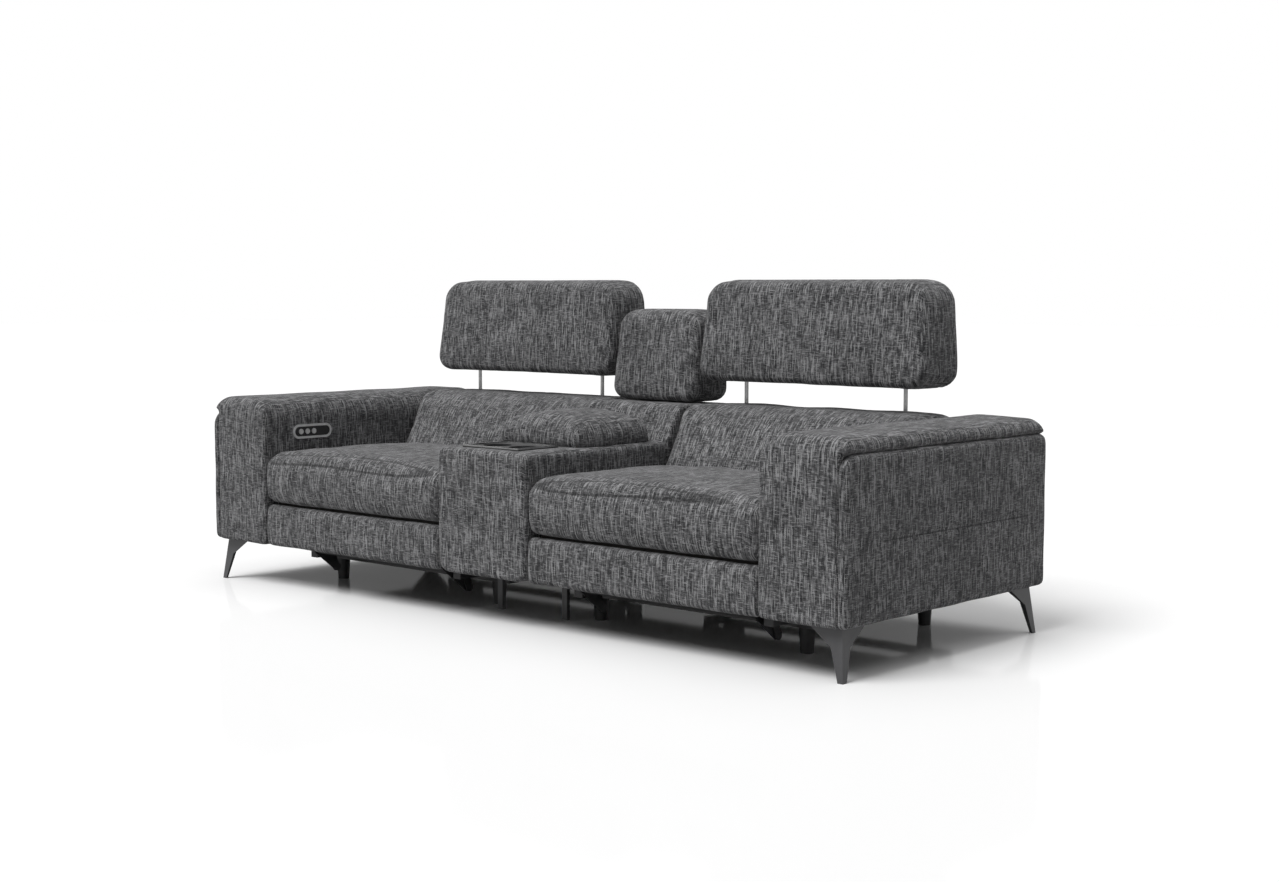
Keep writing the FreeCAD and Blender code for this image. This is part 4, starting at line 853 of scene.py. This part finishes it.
class SOFA_OT_backs(bpy.types.Operator):
    """Upholster the two backs that recline, the fixed back between them and the rear side"""
    bl_idname = "sofa.backs"
    bl_label = "Backs"

    lean = 0.108
    bend_height = 0.395
    slab_setback = 0.146
    board_voxel = 0.0065

    def front_and_top(self, start):
        return BACK_LOW.y + start, BACK_HIGH.z - start

    def upper_corners(self, rear, start):
        """The cap and the long top, from the rear forwards."""
        face, top = self.front_and_top(start)
        return [(rear, top - 0.006, 0.034), (face + self.lean, top, 0.052)]

    def back_loop(self, start):
        """Side outline of a back that reclines, anticlockwise: the slab at its foot, the rear
        edge over the slab, the top and the leaning front."""
        low, rear = BACK_LOW.z, BACK_HIGH.y
        face = self.front_and_top(start)[0]
        slab = COVER_LOW.y - self.slab_setback
        ledge = COVER_HIGH.z + 0.001
        foot = [(face, low, 0.006), (slab, low, 0.004), (slab, ledge, 0.0), (rear, ledge, 0.006)]
        return outline(foot + self.upper_corners(rear, start)
                       + [(face, self.bend_height, 0.03)])

    def centre_loop(self):
        """Side outline of the fixed back, cut off at its own front."""
        low, front, rear = CENTRE_BACK_LOW.z, CENTRE_BACK_LOW.y, CENTRE_BACK_HIGH.y
        face, top = self.front_and_top(0.0)
        rise = (front - face) / self.lean * (top - self.bend_height)
        return outline([(front, low, 0.006), (rear, low, 0.004)]
                       + self.upper_corners(rear, 0.0)
                       + [(front, self.bend_height + rise, 0.01)])

    def back_form(self, padding):
        """The filled back, held at its foot and at the lower part of its rear."""
        low, high = BACK_LOW, BACK_HIGH
        start = start_inset()
        aside = start * SIDE_START
        run = run_with_round_ends(low.x + aside, high.x - aside, 0.022, 0.022)
        form = padded_skin(sweep("X", self.back_loop(start), *run), padding.voxel)
        points = points_of(form)
        held = (points[:, 2] < low.z + 0.02) | (points[:, 1] > 0.25) & (points[:, 2] < 0.56)
        return fill_with_padding(form, held, padding.swell * 0.6)

    def add_backs(self, padding):
        low, high = BACK_LOW, BACK_HIGH
        form = self.back_form(padding)
        for side, sign in SIDES:
            cushion = on_side(form, sign)
            points = uneven(cushion, 0.0014, 0.19, 91 + sign)
            x = np.clip(np.abs(points[:, 0]), low.x - 0.001, high.x + 0.001)
            points[:, 0] = np.sign(points[:, 0]) * x
            points[:, 2] = np.clip(points[:, 2], low.z, high.z + 0.001)
            upholster(f"{side}_back_cover", cushion, f"{side}_back", f"{side}_back_cushion",
                      points)

    def add_board(self, name, body, replaced, edge):
        """Thin padded board on the rear: an outline in XZ swept along Y."""
        low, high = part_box(replaced)
        loop = box_outline(low.x, high.x, low.z, high.z, (edge,) * 4, 0.01)
        places, draws = run_with_round_ends(low.y, high.y, 0.0, edge, 0.004)
        form = padded_skin(sweep("Y", loop[::-1], places, -draws), self.board_voxel)
        points = uneven(form, 0.0006, 0.15, 101)
        points[:, 1] = np.clip(points[:, 1], low.y, high.y + 0.001)
        upholster(name, form, body, replaced, points)

    def add_centre(self, padding):
        low, high = CENTRE_BACK_LOW, CENTRE_BACK_HIGH
        run = run_with_round_ends(low.x, high.x, 0.010, 0.010)
        form = padded_skin(sweep("X", self.centre_loop(), *run), padding.fine_voxel)
        points = uneven(form, 0.001, 0.14, 111)
        points[:, 0] = np.clip(points[:, 0], low.x, high.x)
        kept_behind = np.maximum(points[:, 1], low.y)
        points[:, 1] = np.where(points[:, 2] < 0.48, kept_behind, points[:, 1])
        upholster("centre_back_cover", form, "root", "centre_back", points)

    def execute(self, context):
        padding = context.scene.sofa_padding
        self.add_backs(padding)
        for side, _ in SIDES:
            self.add_board(f"{side}_rear_cover", f"{side}_back", f"{side}_back_rear_cover", 0.006)
        self.add_board("lower_rear_cover", "root", "rear_lower_panel", 0.008)
        self.add_centre(padding)
        return {"FINISHED"}


class SOFA_OT_headrests(bpy.types.Operator):
    """Upholster the three headrests, filled with padding"""
    bl_idname = "sofa.headrests"
    bl_label = "Headrests"

    recede = 0.034
    front_bow = 0.007
    side_bow = 0.006
    side_depth = 0.190
    centre_depth = 0.167

    def form(self, low, high, padding, depth, lean_in, radii):
        """Front outline swept along Y with round ends. The sides lean in towards the top, and
        the front leans back in proportion to the height h and bows out by 1 - h^2."""
        start = -0.001
        loop = outline([
            (low.x + start, low.z + start, radii[0]),
            (high.x - start, low.z + start, radii[0]),
            (high.x - start - lean_in, high.z - start, radii[1]),
            (low.x + start + lean_in, high.z - start, radii[1]),
        ])
        front = high.y - depth
        places, draws = run_with_round_ends(front + start, high.y - start, 0.024, 0.016)
        grid = sweep("Y", loop[::-1], places, -draws)
        rise = (grid[..., 2] - low.z) / (high.z - low.z)
        back = (grid[..., 1] - front) / depth
        across = (2 * grid[..., 0] - low.x - high.x) / (high.x - low.x)
        grid[..., 1] += self.recede * rise * (1 - back)
        full = np.clip(1 - (2 * rise - 1) ** 2, 0, 1) * (1 - back)
        grid[..., 1] -= self.front_bow * full * np.clip(1 - across ** 4, 0, 1)
        aside = np.sign(across) * np.clip((np.abs(across) - 0.8) / 0.2, 0, 1)
        grid[..., 0] += self.side_bow * aside * np.clip(1 - (2 * rise - 1) ** 4, 0, 1)
        form = padded_skin(grid, padding.voxel)
        rear = points_of(form)[:, 1] > high.y - 0.012
        return fill_with_padding(form, rear, padding.swell * 0.25)

    def add(self, side, form, seed):
        replaced = f"{side}_headrest_pad"
        points = uneven(form, 0.0013, 0.16, seed)
        low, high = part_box(replaced)
        points[:, 0] = np.clip(points[:, 0], low.x, high.x)
        points[:, 2] = np.clip(points[:, 2], low.z - 0.0005, high.z + 0.003)
        upholster(f"{side}_headrest_cover", form, f"{side}_headrest", replaced, points)

    def execute(self, context):
        padding = context.scene.sofa_padding
        form = self.form(HEADREST_LOW, HEADREST_HIGH, padding, self.side_depth, 0.016,
                         (0.046, 0.064))
        for side, sign in SIDES:
            self.add(side, on_side(form, sign), 121 + sign)
        form = self.form(CENTRE_HEADREST_LOW, CENTRE_HEADREST_HIGH, padding, self.centre_depth,
                         0.012, (0.040, 0.056))
        self.add("centre", form, 131)
        return {"FINISHED"}


class SOFA_OT_console(bpy.types.Operator):
    """Upholster the console with its storage bin, and the padded lid on it"""
    bl_idname = "sofa.console"
    bl_label = "Console"

    bin_wall = 0.026
    bin_front = 0.30
    bin_rear = 0.05
    bin_floor = 0.06
    cut_above = 0.05
    clearance = 0.0003
    lid_thickness = 0.052
    lid_round = 0.030
    lid_voxel = 0.0065

    def shell(self, padding):
        """Front outline swept along Y."""
        low, high = SHELL_LOW, SHELL_HIGH
        loop = box_outline(low.x, high.x, low.z, high.z, (0.040, 0.040, 0.021, 0.021))
        places, draws = run_with_round_ends(low.y, high.y, 0.014, 0.004)
        form = padded_skin(sweep("Y", loop[::-1], places, -draws), padding.fine_voxel, 3)
        points = uneven(form, 0.0008, 0.13, 141)
        points[:, 1] = np.minimum(points[:, 1], high.y)
        points[:, 0] = np.clip(points[:, 0], low.x, high.x)
        set_points(form, points)
        return form

    def cut(self, form, low, high):
        """The form less a box."""
        tool = bpy.data.meshes.new("tool")
        corners = [(x, y, z) for x in (low[0], high[0]) for y in (low[1], high[1])
                   for z in (low[2], high[2])]
        tool.from_pydata(corners, [], [(0, 1, 3, 2), (4, 6, 7, 5), (0, 4, 5, 1), (2, 3, 7, 6),
                                       (0, 2, 6, 4), (1, 5, 7, 3)])
        face_outwards(tool)
        cutter = bpy.data.objects.new("cutter", tool)
        bpy.context.scene.collection.objects.link(cutter)
        result = modified(form, "BOOLEAN", operation="DIFFERENCE", object=cutter, solver="EXACT")
        bpy.data.objects.remove(cutter)
        return result

    def lid(self, padding):
        """Cross outline swept along Y with round ends; the top crowns by 1 - x^2."""
        low, high = Vector((LID_LOW.x, LID_LOW.y, BOARD_LOW.z - 0.0005)), LID_HIGH
        start = start_inset()
        top = LID_LOW.z + self.lid_thickness - start
        loop = box_outline(low.x + start, high.x - start, low.z, top, (0.006, 0.006, 0.036, 0.036),
                           0.004)
        places, draws = run_with_round_ends(low.y + start, high.y - start, self.lid_round,
                                            self.lid_round, 0.015)
        grid = sweep("Y", loop[::-1], places, -draws)
        grid[..., 2] = np.where(grid[..., 2] < low.z + 0.012, low.z, grid[..., 2])
        across = grid[..., 0] / high.x
        long = (grid[..., 1] - (low.y + high.y) / 2) / ((high.y - low.y) / 2)
        upper = np.clip((grid[..., 2] - low.z) / (top - low.z), 0, 1)
        crown = (high.z - top - 0.002) * upper
        grid[..., 2] += crown * np.clip(1 - across ** 2, 0, 1) * np.clip(1 - long ** 4, 0, 1)
        form = padded_skin(grid, self.lid_voxel)
        held = points_of(form)[:, 2] < low.z + 0.008
        return fill_with_padding(form, held, padding.swell * 0.4)

    def execute(self, context):
        padding = context.scene.sofa_padding
        low, high = SHELL_LOW, SHELL_HIGH
        form = self.cut(self.shell(padding),
                        (low.x + self.bin_wall, low.y + self.bin_front, low.z + self.bin_floor),
                        (high.x - self.bin_wall, high.y - self.bin_rear, high.z + self.cut_above))
        low, high, gap = TRAY_LOW, TRAY_HIGH, self.clearance
        form = self.cut(form, (low.x - gap, low.y - gap, low.z),
                        (high.x + gap, high.y + gap, high.z + self.cut_above))
        upholster("console_cover", form, "root", "console_shell")
        lid = self.lid(padding)
        points = uneven(lid, 0.0011, 0.12, 151)
        under = BOARD_LOW.z - 0.0007
        points[:, 2] = np.where(points[:, 2] < under + 0.004, under, points[:, 2])
        upholster("lid_cover", lid, "console_lid", "lid_pad", points)
        return {"FINISHED"}


class SOFA_OT_hardware(bpy.types.Operator):
    """Give the frame, legs, mechanism, rods and controls their finishes"""
    bl_idname = "sofa.hardware"
    bl_label = "Hardware"

    kinds = {
        "leg": ("_front_leg", "_rear_leg", "console_legs"),
        "rod": ("headrest_rods", "tray_trim"),
        "rim": ("control_bezels", "_button_"),
        "plastic": ("cup_tray", "control_housings", "mechanism_feet"),
        "timber": ("arm_frame", "seat_deck", "footrest_board", "lid_board"),
    }

    def execute(self, context):
        finishes = {
            "leg": painted_metal("leg_paint", (0.055, 0.055, 0.058), 0.36, 0.10),
            "steel": painted_metal("black_steel", (0.016, 0.016, 0.017), 0.48, 0.18),
            "rod": brushed_chrome("rod_chrome", 0.34, 0.46, 0.12),
            "rim": brushed_chrome("satin_chrome", 0.70, 0.86, 0.30),
            "plastic": moulded_plastic("black_plastic"),
            # timber: nearly black wood, painted shade for the deck seen in the gaps between
            # cushions
            "timber": shade_darkened_timber("shade_darkened_timber"),
        }
        for name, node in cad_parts.items():
            finish = "steel"
            for kind, marks in self.kinds.items():
                if any(mark in name for mark in marks):
                    finish = kind
            node.data.materials.clear()
            node.data.materials.append(finishes[finish])
        return {"FINISHED"}


class SOFA_OT_stage(bpy.types.Operator):
    """Set a white floor, soft lamps and the camera"""
    bl_idname = "sofa.stage"
    bl_label = "Stage"

    floor_reach = 40.0
    floor_gloss = 0.10
    floor_roughness = 0.07
    key_way, key_softness = (-0.12, -0.62, 0.90), 36
    top_way, top_softness = (0.0, 0.0, 1.0), 90

    def floor_material(self, stage):
        """White to the camera where nothing shades it, and darker to all other light, so that
        little of it lights the sofa from below. A faint gloss shows the feet."""
        recipe = Recipe.material("floor")
        seen = recipe.node("ShaderNodeLightPath", output="Is Camera Ray")
        tone = recipe.mix(seen, four(stage.bounce), four(stage.floor))
        plain = recipe.node("ShaderNodeBsdfDiffuse", None, {"Color": tone})
        gloss = recipe.node("ShaderNodeBsdfGlossy", None, {"Roughness": self.floor_roughness})
        sockets = {0: self.floor_gloss, 1: plain, 2: gloss}
        return recipe.finish(recipe.node("ShaderNodeMixShader", None, sockets))

    def add_floor(self, stage):
        mesh = bpy.data.meshes.new("floor")
        reach = self.floor_reach
        corners = [(-reach, -reach, 0), (reach, -reach, 0), (reach, reach, 0), (-reach, reach, 0)]
        mesh.from_pydata(corners, [], [(0, 1, 2, 3)])
        mesh.materials.append(self.floor_material(stage))
        floor = bpy.data.objects.new("floor", mesh)
        bpy.context.scene.collection.objects.link(floor)

    def set_world(self, ambient):
        """White to the camera and in reflections, a plain soft light to everything else."""
        world = bpy.data.worlds.new("studio")
        bpy.context.scene.world = world
        recipe = Recipe(world, "ShaderNodeOutputWorld")
        rays = ("Is Camera Ray", "Is Glossy Ray", "Is Transmission Ray")
        camera, glossy, through = [recipe.node("ShaderNodeLightPath", output=ray) for ray in rays]
        lights = [recipe.node("ShaderNodeBackground", None,
                              {"Color": four(grey(1.0)), "Strength": strength})
                  for strength in (ambient, 1.0)]
        sockets = {0: camera.larger(glossy).larger(through), 1: lights[0], 2: lights[1]}
        recipe.finish(recipe.node("ShaderNodeMixShader", None, sockets))

    def add_lamp(self, name, way, softness, strength):
        """Even light from one side: way points from the sofa to the light."""
        data = bpy.data.lights.new(name, "SUN")
        data.energy = strength
        data.angle = math.radians(softness)
        lamp = bpy.data.objects.new(name, data)
        lamp.rotation_euler = Vector(way).to_track_quat("Z", "Y").to_euler()
        bpy.context.scene.collection.objects.link(lamp)

    def add_camera(self, stage):
        data = bpy.data.cameras.new("camera")
        data.sensor_width = 36.0
        data.lens = stage.lens
        data.clip_end = 200.0
        camera = bpy.data.objects.new("camera", data)
        bpy.context.scene.collection.objects.link(camera)
        tilted = Matrix.Rotation(math.pi / 2 - stage.pitch, 4, "X")
        turned = Matrix.Rotation(stage.yaw, 4, "Z") @ tilted @ Matrix.Rotation(stage.roll, 4, "Z")
        place = Matrix.Translation((stage.camera_x, stage.camera_y, stage.camera_z))
        camera.matrix_world = place @ turned
        bpy.context.scene.camera = camera

    def execute(self, context):
        stage = context.scene.sofa_stage
        self.add_floor(stage)
        self.set_world(stage.ambient)
        self.add_lamp("key", self.key_way, self.key_softness, stage.key)
        self.add_lamp("top", self.top_way, self.top_softness, stage.top)
        self.add_camera(stage)
        context.scene.view_settings.view_transform = "Standard"
        return {"FINISHED"}


class SOFA_PT_panel(bpy.types.Panel):
    """Lists the pieces and their settings"""
    bl_idname = "SOFA_PT_panel"
    bl_label = "Sofa"
    bl_space_type = "VIEW_3D"
    bl_region_type = "UI"
    bl_category = "Sofa"

    def draw(self, context):
        for name, group in SETTINGS.items():
            box = self.layout.box()
            for setting in group.__annotations__:
                box.prop(getattr(context.scene, name), setting)
        for operator in OPERATORS:
            self.layout.operator(operator.bl_idname)


SETTINGS = {
    "sofa_fabric": FabricSettings,
    "sofa_padding": PaddingSettings,
    "sofa_stage": StageSettings,
}
OPERATORS = (SOFA_OT_arms, SOFA_OT_seats, SOFA_OT_footrests, SOFA_OT_backs, SOFA_OT_headrests,
             SOFA_OT_console, SOFA_OT_hardware, SOFA_OT_stage)
CLASSES = (*SETTINGS.values(), *OPERATORS, SOFA_PT_panel)


def register():
    for item in CLASSES:
        bpy.utils.register_class(item)
    for name, group in SETTINGS.items():
        setattr(bpy.types.Scene, name, PointerProperty(type=group))


def unregister():
    for name in SETTINGS:
        delattr(bpy.types.Scene, name)
    for item in reversed(CLASSES):
        bpy.utils.unregister_class(item)


def main():
    register()
    bpy.ops.sofa.hardware()
    bpy.ops.sofa.arms()
    bpy.ops.sofa.seats()
    bpy.ops.sofa.footrests()
    bpy.ops.sofa.backs()
    bpy.ops.sofa.headrests()
    bpy.ops.sofa.console()
    bpy.ops.sofa.stage()


if __name__ == "__main__":
    main()
